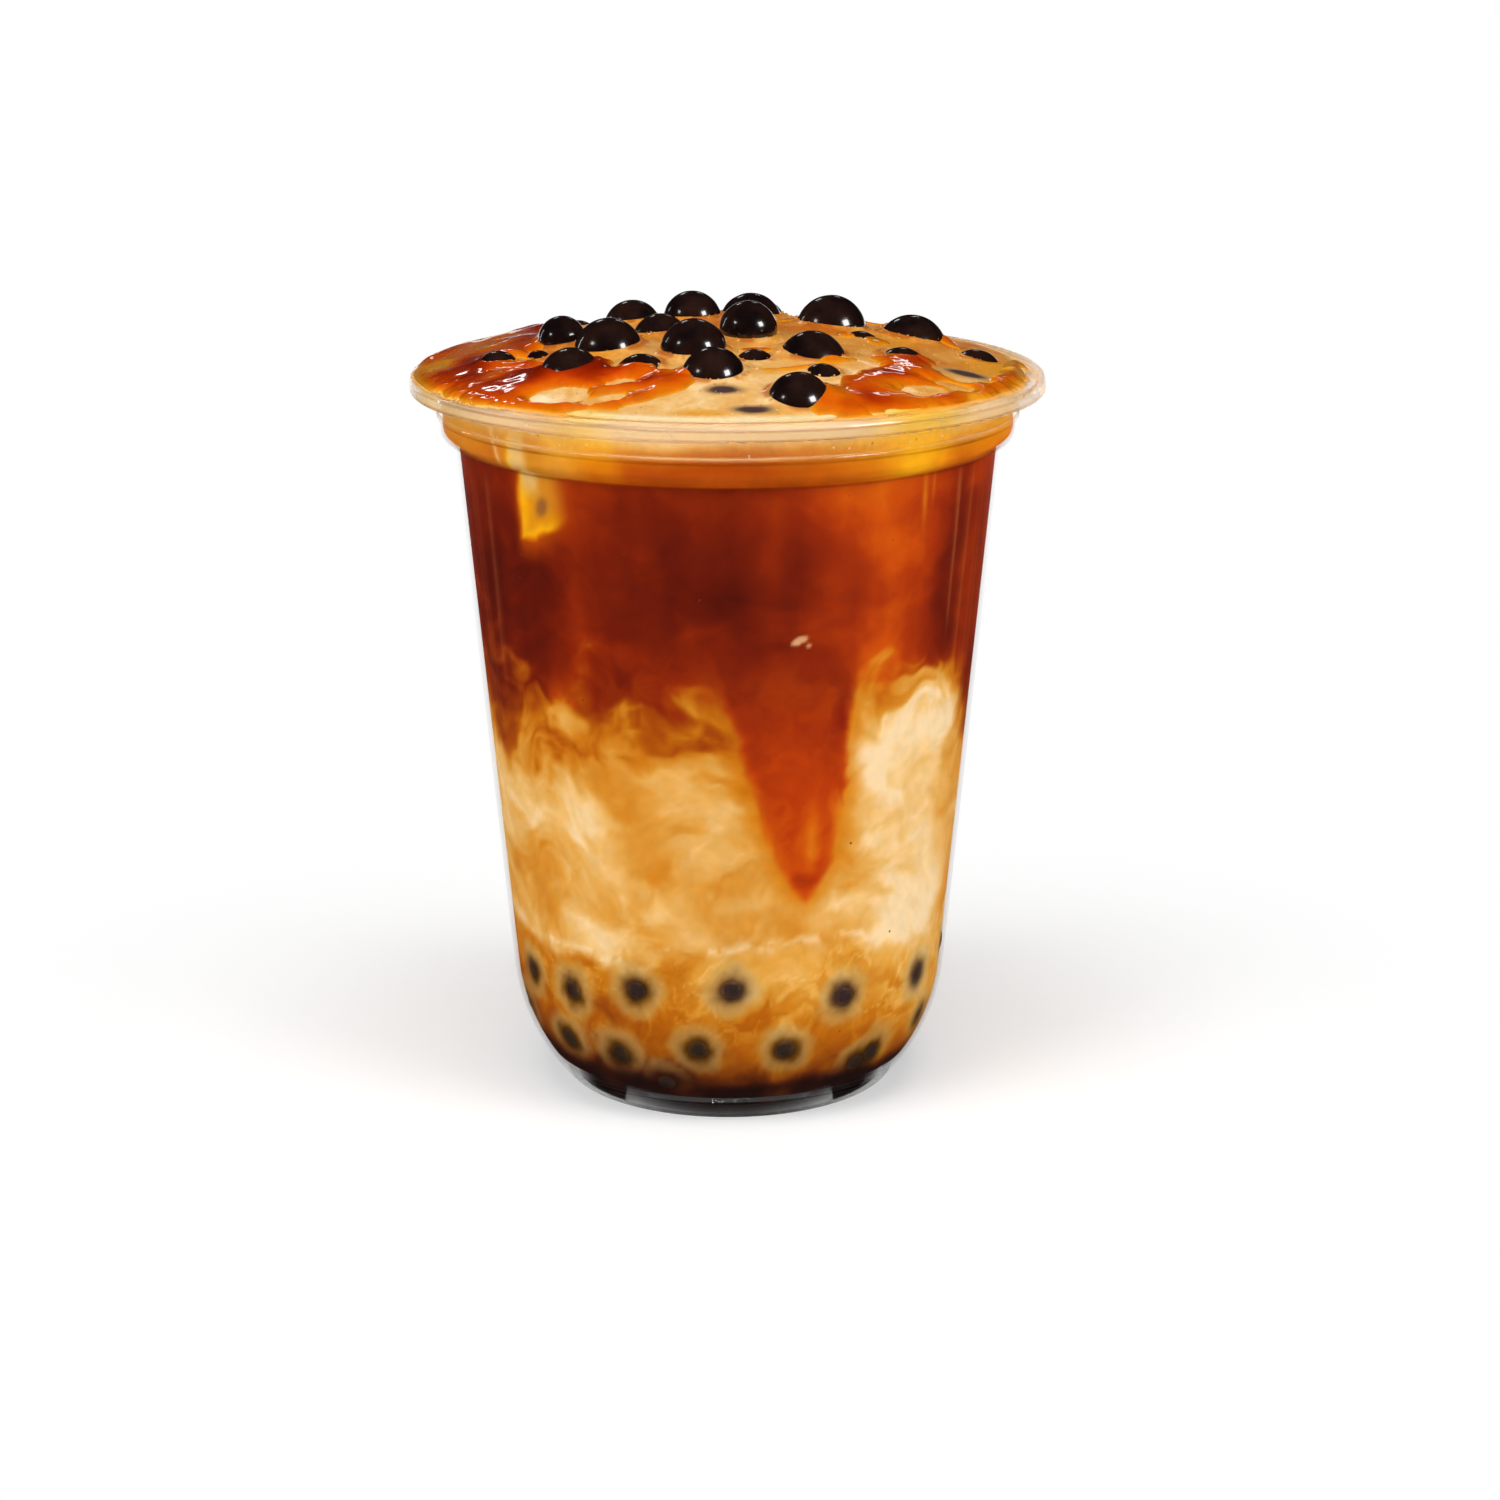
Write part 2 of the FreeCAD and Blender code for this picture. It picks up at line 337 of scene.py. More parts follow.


# %% [markdown]
# Then the named features. Amber and pale spots mottle the cream. Below it a ragged pale edge
# stands over a golden zone, and at the bottom a painted shade makes the drink nearly black. A
# broad tongue of caramel hangs down right of the middle, with an amber seam on both sides.

# %% Spots and ramps
AMBER = 0.56
PALE = 0.95
AMBER_SPOTS = [(-24, 53, 3.2, 6.0, 0.5), (-14, 43.5, 3.6, 2.2, 0.8), (-3, 41, 3.2, 1.8, 0.4),
               (-52, 33, 5.0, 7.0, 0.6), (-30, 57, 4.0, 3.0, 0.5), (29, 48, 2.4, 8.0, 0.4),
               (39, 37, 3.0, 4.0, 0.35), (31, 31, 4.0, 3.0, 0.6), (18, 32.5, 5.0, 2.6, 0.7),
               (-22, 45, 3.0, 5.0, 0.5), (-110, 50, 6, 4, 0.5), (-150, 44, 7, 3, 0.6),
               (105, 46, 5, 5, 0.5), (160, 52, 6, 4, 0.5), (65, 57, 3, 4, 0.5)]
PALE_SPOTS = [(-30, 43, 5.5, 4.5, 0.5), (-1, 53, 3.6, 2.6, 0.5), (-7, 33, 6.0, 2.2, 0.6),
              (45, 58, 6.0, 6.0, 0.5), (58, 38, 5.0, 5.0, 0.5), (-37, 67, 3.0, 4.0, 0.6),
              (-42, 51, 3.5, 3.0, 0.5), (4, 38, 4.0, 2.0, 0.5), (-61, 44, 3.0, 4.0, 0.4)]
LOWER_RAMP = [(0.0, (34, 9, 2)), (0.2, (74, 27, 2)), (0.35, (128, 57, 4)), (0.45, (166, 84, 4)),
              (0.55, (192, 106, 6)), (0.65, (210, 134, 28)), (0.75, (226, 164, 62)),
              (0.87, (240, 190, 102)), (1.0, (250, 218, 158))]
LOWER_DEPTHS = [(5, 0.08), (7, 0.2), (9, 0.35), (12, 0.48), (16, 0.58), (20, 0.64), (25, 0.68),
                (29, 0.71)]
LOWER_SIDES = [(-110, 0.02), (-60, -0.12), (-32, -0.1), (-10, -0.02), (8, 0.05), (20, 0.04),
               (38, 0.04), (50, 0.14), (68, 0.15), (110, 0.06)]
# Painted shade: the nearly black of the drink's bottom, where the foot of the cup lies in shadow.
BOTTOM_SHADE_RAMP = [(0.3, (22, 2, 1)), (0.55, (44, 10, 2)), (0.7, (92, 40, 8))]
TONGUE_LEVELS = [37, 38.5, 40.5, 44, 50, 61, 77, 90]
TONGUE_LEFT = [19.5, 17, 14.8, 11.8, 8, 4, -6, -12]
TONGUE_RIGHT = [19.5, 21, 22.6, 25.5, 27.0, 28.4, 30, 34]
TONGUE_SHADES = [(40, 0.43), (50, 0.43), (58, 0.4), (66, 0.3), (74, 0.22)]
TONGUE_RAMP = [(0.0, (96, 14, 0)), (0.2, (138, 31, 1)), (0.32, (170, 52, 1)), (0.42, (192, 64, 1)),
               (0.55, (212, 96, 4)), (0.7, (226, 136, 20)), (1.0, (244, 186, 90))]
print("dark, middle and pale drink:", ramp([0.0, 0.5, 1.0], MILK_RAMP).astype(int).tolist())

# %% The features of the marbling
def paint_marbling(turn, level, soft_turn, soft_level):
    """The ramps of coffee and milk read at the share of milk, once the spots have pulled that
    share towards amber or pale."""
    share, milk = milk_share(turn, level)
    for spots, aim in ((AMBER_SPOTS, AMBER), (PALE_SPOTS, PALE)):
        for *where, depth in spots:
            share = share + (aim - share) * depth * spot(soft_turn, soft_level, *where)
    return tint(ramp(share, COFFEE_RAMP), ramp(share, MILK_RAMP), smooth_step(0, 0.3, milk))


def paint_low_zone(turn, level, place, stirred, colour):
    """A colour with the golden zone over it, up to a wavy ragged edge with a pale lip, and with
    the painted shade of the bottom, nearly black, which rises a little at the right."""
    edge = 28.2 + 1.6 * np.sin(np.radians(3 * turn + 40)) + 4.5 * cloud_noise(place, 5.5, 71)
    folds = even_noise(stirred, 7.5, 81, tall=1 / 1.5)
    creases = bell(cloud_noise(stirred, 7, 86, octaves=2, tall=1 / 1.9) / 0.035)
    golden = read_marks(level, LOWER_DEPTHS) + round_the_cup(turn, LOWER_SIDES) + 0.055 * folds
    golden = golden + 0.09 * creases * smooth_step(10, 18, level)
    colour = tint(colour, ramp(golden, LOWER_RAMP), smooth_step(edge + 1.6, edge - 1.6, level))
    lip = bell((level - edge - 1.2) / 0.9) * smooth_step(-0.2, 1.2, folds)
    colour = tint(colour, (250, 226, 180), 0.75 * lip)
    # Painted shade: the bottom goes nearly black, as the shadowed foot of the cup.
    rise = 4.0 * cloud_noise(place, 8, 91, tall=0.6) + np.clip(turn - 40, 0, 30) * 0.05
    painted_bottom_shade = ramp(0.5 + cloud_noise(place, 10, 96), BOTTOM_SHADE_RAMP)
    return tint(colour, painted_bottom_shade, smooth_step(8.6, 5.6, level + rise))


def paint_tongue(turn, level, stirred, colour):
    """A colour with the tongue over it: between its left and right outlines, which the noise
    warps above its tip, fading out upwards, and amber for some degrees outside them."""
    warp = 7.0 * cloud_noise(stirred, 9, 101) * smooth_step(40, 54, level)
    inside = np.minimum(turn + warp - np.interp(level, TONGUE_LEVELS, TONGUE_LEFT),
                        np.interp(level, TONGUE_LEVELS, TONGUE_RIGHT) - turn - warp)
    seam = smooth_step(-5.5, -0.2, inside) * smooth_step(34.5, 39.5, level) * smooth_step(78, 64, level)
    colour = tint(colour, (216, 130, 12), 0.7 * seam)
    tongue = smooth_step(-0.9, 1.5, inside) * smooth_step(36.6, 39.0, level) * smooth_step(84, 66, level)
    shade = read_marks(level, TONGUE_SHADES) + 0.35 * cloud_noise(stirred, 5, 106, tall=2.5)
    shade = shade + 0.16 * spot(turn, level, 20, 48, 1.2, 4.5) + 0.1 * smooth_step(3.0, 0.5, inside)
    return tint(colour, ramp(shade, TONGUE_RAMP), tongue)


def paint_drink(turn, level):
    """Colour of the drink on the wall: the marbling, then the low zone, the tongue and two pale
    flecks laid over it in turn."""
    place = on_wall(turn, level)
    stirred = swirled(place, 9, 1.5, 76)
    wander = 8 * cloud_noise(place, 9, 61)
    ripple = 3.4 * cloud_noise(place, 3.2, 66)
    soft_turn = turn + 1.6 * wander + 1.6 * ripple
    colour = paint_marbling(turn, level, soft_turn, level + 0.8 * wander + ripple)
    colour = paint_low_zone(turn, level, place, stirred, colour)
    colour = paint_tongue(turn, level, stirred, colour)
    fleck = spot(soft_turn, level, 15.5, 79.5, 1.1, 0.9) + 0.7 * spot(turn, level, 17.7, 78.6, 0.6, 0.5)
    return tint(colour, (232, 184, 132), 0.9 * smooth_step(0.25, 0.8, fleck))


# %% [markdown]
# The neck holds paler and paler drink towards the rim, with upright bands of gold. Its foot is
# painted lighter: painted light, against the shade where the shoulder rounds down. At the left
# milk has run down from the rim as a pale column. It ends in a yellow glow round one pearl
# that floats there, seen as a mauve shadow. A thin streak of gold hangs at the right, and thin
# pale lines at both sides are painted highlights, lamps mirrored in the plastic.

# %% The neck and the glow
# From 102.6 to 105.5 mm the ramp gets darker upwards: the foot of the neck is painted light, against the
# shade where the shoulder rounds down.
NECK_RAMP_WITH_PAINTED_LIGHT = [(102.6, (226, 104, 10)), (103.4, (212, 94, 6)), (104.4, (190, 80, 2)), (105.5, (180, 74, 1)),
             (107.2, (196, 96, 8)), (108.3, (206, 122, 22)), (109.0, (226, 162, 66)),
             (110.0, (240, 200, 130)), (112.0, (248, 224, 180))]
GOLD_RAMP = [(102.6, (240, 142, 6)), (104.2, (228, 128, 4)), (106.5, (240, 158, 6)),
             (108.5, (246, 182, 24)), (110.5, (250, 202, 60)), (113, (252, 222, 130))]
NECK_GOLD = [(-150, 0.5), (-75, 0.6), (-62, 0.7), (-52, 0.5), (-44, 0.8), (-36, 1.0), (-29, 0.9),
             (-25, 0.7), (-21, 0.2), (-16, 0.05), (8, 0.0), (18, 0.3), (28, 0.65), (37, 1.0),
             (43, 1.0), (50, 0.5), (58, 0.75), (75, 0.8), (120, 0.4)]
COLUMN_RAMP = [(0.0, (244, 158, 0)), (0.9, (252, 186, 14)), (2.2, (232, 156, 16)), (4.0, (218, 144, 34))]
# Painted highlights: thin pale upright lines where lamps are mirrored in the plastic at the sides.
SIDE_HIGHLIGHTS = [(55.5, 78, 102, 0.35, 0.4), (61, 72, 102, 0.5, 0.3), (68, 60, 100, 0.5, 0.25),
                (-59, 70, 101, 0.5, 0.25), (-66, 60, 99, 0.6, 0.25)]
MM_A_DEGREE_UP_HIGH = math.radians(42)


def paint_neck(turn, level):
    """Colour of the neck: a ramp up the level, with painted light at its foot, laid over with gold by
    the turn. The gold is pale at the left and bright right of the middle, and one thin pale line at
    the left is a painted highlight."""
    place = on_wall(turn, level)
    lifted = level + 2.0 * cloud_noise(place, 7, 111) + 1.2 * cloud_noise(place, 2.4, 116, tall=4)
    gold_share = round_the_cup(turn + 9 * cloud_noise(place, 6, 121, tall=3), NECK_GOLD)
    gold = tint(ramp(lifted, GOLD_RAMP), (234, 182, 92), 0.5 * smooth_step(-24, -33, turn))
    gold = tint(gold, (255, 196, 26), 0.75 * bell((turn - 38) / 8))
    colour = tint(ramp(lifted, NECK_RAMP_WITH_PAINTED_LIGHT), gold, gold_share)
    # A painted highlight: a thin pale upright line at the left, a lamp mirrored in the neck.
    line = bell((turn + 51 + 0.5 * (level - 108)) * 0.78 / 0.4) * smooth_step(103.5, 105, level)
    return tint(colour, (248, 212, 156), 0.7 * line)


def paint_column(turn, level, place, neck, colour):
    """A colour with the pale column over it: warm coffee round its foot, the column by the
    distance in mm inside its left edge and foot, and the mauve pearl."""
    across = (turn + 44.0) * MM_A_DEGREE + 2.2 * cloud_noise(place, 5, 126, tall=2.5)
    foot = 92.4 + 0.6 * np.clip(across, 0, 9) + 1.5 * cloud_noise(place, 3, 128)
    inside = np.minimum(across + 2.6, np.minimum(level - foot, 6))
    warm = bell(np.clip(across - 1, 0, None) / 5.5, np.clip(-across - 2, 0, None) / 1.2)
    warm = warm * smooth_step(-4.5, 1.0, level - foot) * (1 - neck)
    colour = tint(colour, (204, 88, 2), 0.85 * warm)
    pale = smooth_step(2.4, 0.6, np.abs(across + 0.4)) * smooth_step(98, 102, level)
    column = tint(ramp(inside, COLUMN_RAMP), (236, 204, 146), 0.75 * pale)
    covered = smooth_step(-0.5, 0.9, inside) * smooth_step(7.0, 2.4, across) * smooth_step(111, 107, level)
    mauve = spot(turn, level, -41.0, 98.0, 1.3, 1.6, slope=0.5)
    return tint(tint(colour, column, covered), (134, 84, 50), 0.7 * smooth_step(0.1, 0.9, mauve))


def paint_filling(turn, level):
    """Colour of all that fills the cup: the drink up to the shoulder, the neck above it, and the
    column, the streak and the thin lines of painted highlight over both."""
    place = on_wall(turn, level)
    neck = smooth_step(102.4, 103.6, level)
    colour = tint(paint_drink(turn, level), paint_neck(turn, level), neck)
    colour = paint_column(turn, level, place, neck, colour)
    streak = spot(turn, level, 44.5, 99.5, 0.5, 4.0, slope=-3.0)
    streak = streak + 0.6 * spot(turn, level, 47, 101, 0.3, 2.5)
    colour = tint(colour, (226, 142, 22), 0.7 * np.clip(streak, 0, 1))
    # Painted highlights: the thin pale lines at both sides.
    wavy_turn = turn + 6 * cloud_noise(place, 6, 136, tall=12)
    for at_turn, low, high, wide, depth in SIDE_HIGHLIGHTS:
        run = smooth_step(low - 5, low + 5, level) * smooth_step(high + 3, high - 3, level)
        line = bell((wavy_turn - at_turn) * MM_A_DEGREE_UP_HIGH / wide)
        colour = tint(colour, (222, 146, 84), depth * run * line)
    return colour


# %% [markdown]
# ## Pearls behind the wall
#
# Low in the drink tapioca pearls press against the plastic. Where one touches, a dark disc
# shows, and the thin milk round it is a paler ring. Their places are listed for the front.
# Round the back two rings carry on at the same distances. The list serves twice: the drink is
# painted with the soft rings, and the balls are made from it further on.

# %% Sunk pearls on the wall
SUNK_PEARLS = [(-63, 20.9), (-44.2, 20.4), (-23.8, 22.9), (1, 24), (31.2, 21.2), (59, 20.8),
               (-30.5, 11.4), (-7.8, 13.8), (15.2, 13.5), (38.5, 8.7), (43.6, 9.9), (-17.8, 7.2)]
SUNK_PEARLS += [(84 + 25.5 * k, 21.5 + 1.9 * math.sin(2.3 * k)) for k in range(8)]
SUNK_PEARLS += [(66 + 24.5 * k, 12.2 + 1.6 * math.sin(3.1 * k)) for k in range(11)]
PEARL_SHOWS = [(1.1, 1.0), (1.5, 0.88), (1.9, 0.68), (2.4, 0.45), (2.9, 0.28), (3.4, 0.16),
               (4.0, 0.08), (5.0, 0.0)]
PEARL_SHADE = [(1.1, (44, 24, 20)), (1.8, (62, 44, 38)), (2.8, (104, 88, 70)), (4.0, (160, 140, 104))]
LOW_DRUM = [(4, 0.55), (18, 0.6), (60, 0.66)]


def paint_wall(turn, level):
    """Colour of the filling with the sunk pearls: by the distance in mm to the nearest pearl's
    middle, how milky it is, how much of the pearl shows through, and in what shade. Lower down
    a degree is fewer mm across."""
    colour = paint_filling(turn, level)
    uneven = 1 + 0.6 * cloud_noise(on_wall(turn, level), 2.2, 131)
    mm_a_degree = read_marks(level, LOW_DRUM)
    reach = np.full(level.shape, FAR)
    for at_turn, at_level in SUNK_PEARLS:
        away = np.hypot(turn_from(turn, at_turn) * mm_a_degree, level - at_level)
        reach = np.minimum(reach, away * uneven)
    milky = smooth_step(1.6, 3.2, reach) * smooth_step(5.8, 3.6, reach) * smooth_step(6, 12, level)
    colour = tint(colour, (214, 184, 122), 0.5 * milky)
    return tint(colour, np.minimum(ramp(reach, PEARL_SHADE), colour), read_marks(reach, PEARL_SHOWS))


print("sunk pearls:", len(SUNK_PEARLS))

# %% [markdown]
# ## Making a piece
#
# Every piece is made the same way: points and faces from arrays, smooth shading, the painted
# colour of each point, a material, and a ride on the one body of this object. Nodes of the
# frame that a piece stands for are named, and then the frame's own solid isn't shown.

# %% Piece and grid tools
def ring_faces(rows, columns):
    """Quads of a grid closed round its columns: each point with its right neighbour and the two
    above them, so that rings from the bottom up face outwards."""
    row = np.arange(rows - 1)[:, None] * columns
    column = np.arange(columns)
    right = (column + 1) % columns
    quads = [row + column, row + right, row + columns + right, row + columns + column]
    return np.stack(quads, axis=-1).reshape(-1, 4)


def fan_faces(first, columns, centre, upwards):
    """Triangles from a ring's points to a centre point, turned to face up or down."""
    column = first + np.arange(columns)
    right = first + (np.arange(columns) + 1) % columns
    middle = np.full(columns, centre)
    order = [middle, column, right] if upwards else [middle, right, column]
    return np.stack(order, axis=-1)


def closed_faces(rows, columns):
    """Faces of a grid closed round its columns, with a fan at each end to two points that follow
    the grid's own, the lower one first."""
    count = rows * columns
    return [ring_faces(rows, columns), fan_faces(0, columns, count, upwards=False),
            fan_faces(count - columns, columns, count + 1, upwards=True)]


def add_piece(name, points, faces, material, paint=None, stands_for=(), sharp=60):
    """A finished piece from arrays of points and of faces: shaded smooth except where two faces
    meet at more than the sharp angle, painted, given its material and slot, and riding."""
    mesh = bpy.data.meshes.new(name)
    mesh.from_pydata(np.asarray(points).tolist(), [], [face for part in faces for face in part.tolist()])
    mesh.polygons.foreach_set("use_smooth", np.ones(len(mesh.polygons), bool))
    mesh.set_sharp_from_angle(angle=math.radians(sharp))
    if paint is not None:
        rgba = np.ones((len(mesh.vertices), 4))
        rgba[:, :3] = to_light(paint)
        layer = mesh.color_attributes.new("paint", "FLOAT_COLOR", "POINT")
        layer.data.foreach_set("color", rgba.ravel())
    mesh.materials.append(material)
    piece = bpy.data.objects.new(name, mesh)
    bpy.context.scene.collection.objects.link(piece)
    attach(piece, "root")
    if stands_for:
        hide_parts(*stands_for)
    count = sum(len(part) * (part.shape[1] - 2) for part in faces)
    print("%s: %d triangles" % (name, count))
    return piece


# %% [markdown]
# ## Materials from nodes
#
# The painted colour carries the large shapes. The nodes add what is finer than the mesh: a
# slight change of tone, specks, and a bump. A short helper makes a node and sets its sockets,
# so that each recipe reads as a list.

# %% Material tools
def node(tree, kind, sockets=None, **settings):
    """A new node of a kind, with its settings and the values or links of its sockets."""
    made = tree.nodes.new("ShaderNode" + kind)
    for key, value in settings.items():
        setattr(made, key, value)
    for key, value in (sockets or {}).items():
        if isinstance(value, bpy.types.NodeSocket):
            tree.links.new(value, made.inputs[key])
        else:
            made.inputs[key].default_value = value
    return made


def new_material(name, **values):
    """A material with its Principled shader's sockets set to the given values."""
    material = bpy.data.materials.new(name)
    material.use_nodes = True
    shader = material.node_tree.nodes["Principled BSDF"]
    for key, value in values.items():
        shader.inputs[key.replace("_", " ")].default_value = value
    return material, material.node_tree, shader


def mapped(tree, value, low, high, to_low=0.0, to_high=1.0, **settings):
    """A value moved from its place between low and high to the same place between two others."""
    made = node(tree, "MapRange", {"Value": value, "From Min": low, "From Max": high,
                                   "To Min": to_low, "To Max": to_high}, **settings)
    return made.outputs["Result"]


def reckoned(tree, operation, *values):
    """The result of one step of arithmetic on up to three values."""
    return node(tree, "Math", dict(enumerate(values)), operation=operation).outputs[0]


def grained(tree, size, low, high, detail=4.0):
    """The painted colour made lighter and darker by fine noise: times a value between low and
    high. The noise and the place on the piece come with it."""
    paint = node(tree, "Attribute", attribute_name="paint").outputs["Color"]
    place = node(tree, "TexCoord").outputs["Object"]
    noise = node(tree, "TexNoise", {"Vector": place, "Scale": 1 / size, "Detail": detail}).outputs["Fac"]
    tone = mapped(tree, noise, 0.3, 0.7, low, high)
    shaded = node(tree, "VectorMath", {0: paint, "Scale": tone}, operation="SCALE")
    return shaded.outputs["Vector"], noise, place


def specked(tree, colour, place, size, reach, speck_colour, amount):
    """A colour with specks: dots round the points of a Voronoi pattern, kept in the cells whose
    random value is under an amount."""
    cells = node(tree, "TexVoronoi", {"Vector": place, "Scale": 1 / size, "Randomness": 1.0})
    dot = mapped(tree, cells.outputs["Distance"], reach, 0.6 * reach)
    pick = node(tree, "SeparateColor", {"Color": cells.outputs["Color"]}).outputs[0]
    share = reckoned(tree, "MULTIPLY", dot, reckoned(tree, "LESS_THAN", pick, amount))
    return node(tree, "Mix", {"Factor": share, "A": colour, "B": speck_colour},
                data_type="RGBA").outputs[2]


def bumped(tree, shader, height, strength, distance, **under):
    """A shader's normal tipped by a height, with a strength and a distance in mm."""
    bump = node(tree, "Bump", {"Height": height, "Strength": strength, "Distance": distance * MM, **under})
    tree.links.new(bump.outputs["Normal"], shader.inputs["Normal"])
    return bump.outputs["Normal"]


# %% [markdown]
# ## The drink against the plastic
#
# Milk and coffee are one drink in two nodes. Each is replaced by a closed skin of revolution
# with seven hundred and twenty columns, painted point by point. The skin lies a little outside
# the solid and ends within the thickness of the wall. So no thin film of air is left between
# them, which would shine like a mirror at the edges. Just under the plastic a drink has hardly
# a gloss of its own, so its specular level is low.

# %% The drink's material
SKIN = 0.28 * MM
COLUMNS = 720


def drink_material(name):
    """Painted drink: the paint with a fine grain, and a few dark specks."""
    material, tree, shader = new_material(name, Roughness=0.45, Specular_IOR_Level=0.06)
    colour, grain, place = grained(tree, 2.2 * MM, 0.95, 1.05, detail=6.0)
    dark = specked(tree, colour, place, 5.5 * MM, 0.045, (0.18, 0.04, 0.004, 1), 0.5)
    tree.links.new(dark, shader.inputs["Base Color"])
    bumped(tree, shader, grain, 0.15, 0.1)
    return material


def skin_profile(levels, radii, rows):
    """Levels and radii of the profile moved out by the skin, along the normal of its run, and
    then walked in equal steps, one for each row."""
    rise = np.gradient(levels)
    run = np.gradient(radii)
    length = np.hypot(rise, run)
    levels, radii = levels - SKIN * run / length, radii + SKIN * rise / length
    walked = np.concatenate([[0], np.cumsum(np.hypot(np.diff(levels), np.diff(radii)))])
    steps = np.linspace(0, walked[-1], rows)
    return np.interp(steps, walked, levels)[:, None], np.interp(steps, walked, radii)[:, None]


def turns_round(columns):
    """Turns of a ring's columns in degrees, as one row, from the back and once round."""
    return np.linspace(-180, 180, columns, endpoint=False)[None, :]


def add_turned_drink(name, levels, radii, rows, stands_for):
    """A closed skin of revolution: each ring of the profile is turned round the axis, and a
    centre point closes each end."""
    level, radius = skin_profile(levels, radii, rows)
    turn = turns_round(COLUMNS)
    paint = paint_wall(turn + 0 * level, level / MM + 0 * turn).reshape(-1, 3)
    ends = [[0, 0, level[0, 0]], [0, 0, level[-1, 0]]]
    points = np.concatenate([turned(radius, turn, level).reshape(-1, 3), ends])
    paint = np.concatenate([paint, paint[:COLUMNS].mean(0)[None], paint[-COLUMNS:].mean(0)[None]])
    return add_piece(name, points, closed_faces(rows, COLUMNS), drink_material(name + "_paint"),
                     paint, stands_for, sharp=50)


# %% The two layers of drink
MILK_ROWS = 134
COFFEE_ROWS = 124
add_turned_drink("milk_drink", milk_levels, milk_radii, MILK_ROWS, ["milk_layer"])

wall_levels = coffee_levels[~past_wall]
coffee_run = np.concatenate([wall_levels, [shoulder_level - 0.02 * MM], coffee_levels[past_wall]])
coffee_out = np.concatenate([coffee_radii[~past_wall], [wall_line(shoulder_level)],
                             coffee_radii[past_wall]])
add_turned_drink("coffee_drink", coffee_run, coffee_out, COFFEE_ROWS, ["coffee_layer"])

# %% [markdown]
# ## The pearls on top
#
# Tapioca pearls are boiled balls of starch. They are round, but no two are quite alike: each is
# a little flat, a little long, and has soft dents. Their skin is near black with a brown
# cast, and it is wet. One function makes a ball whose radius wavers with noise, and the
# centre and size come from the box of the pearl's solid.

# %% The pearls on top
PEARL_ROWS = 40
PEARL_COLUMNS = 64
pearl_centres = np.array([(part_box(name)[0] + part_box(name)[1]) / 2 for name in pearl_nodes])
pearl_radii = np.array([(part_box(name)[1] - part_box(name)[0])[:] for name in pearl_nodes]).min(1) / 2
PEARL_TONES = [(0.006, 0.003, 0.003, 1), (0.030, 0.011, 0.007, 1)]


def ball(rows, columns):
    """Directions to the points of a ball: the pole below, rings from there up, the pole above;
    at polar angle t from below and turn u they are (sin t cos u, sin t sin u, -cos t)."""
    polar = np.linspace(0, math.pi, rows + 2)[1:-1, None]
    turn = np.linspace(0, FULL_TURN, columns, endpoint=False)[None, :]
    rings = np.stack([np.sin(polar) * np.cos(turn), np.sin(polar) * np.sin(turn),
                      -np.cos(polar) + 0 * turn], axis=-1).reshape(-1, 3)
    return np.concatenate([rings, [[0, 0, -1], [0, 0, 1]]]), closed_faces(rows, columns)


def pearl_material():
    """Wet tapioca: near black with a brown cast that varies, soft dents, and a wet coat."""
    material, tree, shader = new_material("wet_tapioca", Roughness=0.2, Coat_Weight=1.0,
                                          Coat_Roughness=0.03, Coat_IOR=1.45, IOR=1.4)
    place = node(tree, "TexCoord").outputs["Object"]
    cast = node(tree, "TexNoise", {"Vector": place, "Scale": 220.0, "Detail": 3.0})
    tone = node(tree, "ValToRGB", {"Fac": cast.outputs["Fac"]})
    for stop, at, colour in zip(tone.color_ramp.elements, (0.35, 0.75), PEARL_TONES):
        stop.position = at
        stop.color = colour
    tree.links.new(tone.outputs["Color"], shader.inputs["Base Color"])
    dents = node(tree, "TexNoise", {"Vector": place, "Scale": 520.0, "Detail": 2.0})
    bumped(tree, shader, dents.outputs["Fac"], 0.12, 0.3)
    return material


tapioca = pearl_material()
ball_directions, ball_faces = ball(PEARL_ROWS, PEARL_COLUMNS)
for number, name in enumerate(pearl_nodes):
    waver = cloud_noise(ball_directions + 3.7 * number, 1.1, 141, octaves=3)
    reach = pearl_radii[number] * (1.0 + 0.06 * waver)
    add_piece("ball_" + name[-2:], pearl_centres[number] + reach[:, None] * ball_directions,
              ball_faces, tapioca, stands_for=[name])

# %% [markdown]
# ## The heap of foam
#
# The foam stands over the rim as a low dome. Up close it isn't smooth: it climbs each pearl in
# a thin collar, sinks a little between them, and holds bubbles. All that is one height over
# the plane, so the top is a polar grid lifted by a sum: the dome, a soft swell, and a
# falling rise round every pearl's waterline. The same height later tells where sauce lies.

# %% The height of the foam
DOME_RISE = 6.0 * MM
DOME_RADIUS = (foam_edge ** 2 + DOME_RISE ** 2) / (2 * DOME_RISE)
FOAM_FOOT = cup_top + 0.1 * MM
CLIMB = 0.9 * MM
CLIMB_REACH = 1.3 * MM


def dome_height(x, y):
    """Height of the plain dome: a part of a sphere that rises DOME_RISE over the foam's edge."""
    square = np.minimum(x * x + y * y, foam_edge ** 2)
    return FOAM_FOOT + DOME_RISE - DOME_RADIUS + np.sqrt(DOME_RADIUS ** 2 - square)


pearl_tops = pearl_centres[:, 2] + pearl_radii
pearl_grounds = dome_height(pearl_centres[:, 0], pearl_centres[:, 1])
climbs = np.clip((pearl_tops - pearl_grounds) / 3, 0, CLIMB)
depths = pearl_grounds + climbs - pearl_centres[:, 2]
waterlines = np.sqrt(np.clip(pearl_radii ** 2 - depths ** 2, (0.3 * MM) ** 2, None))


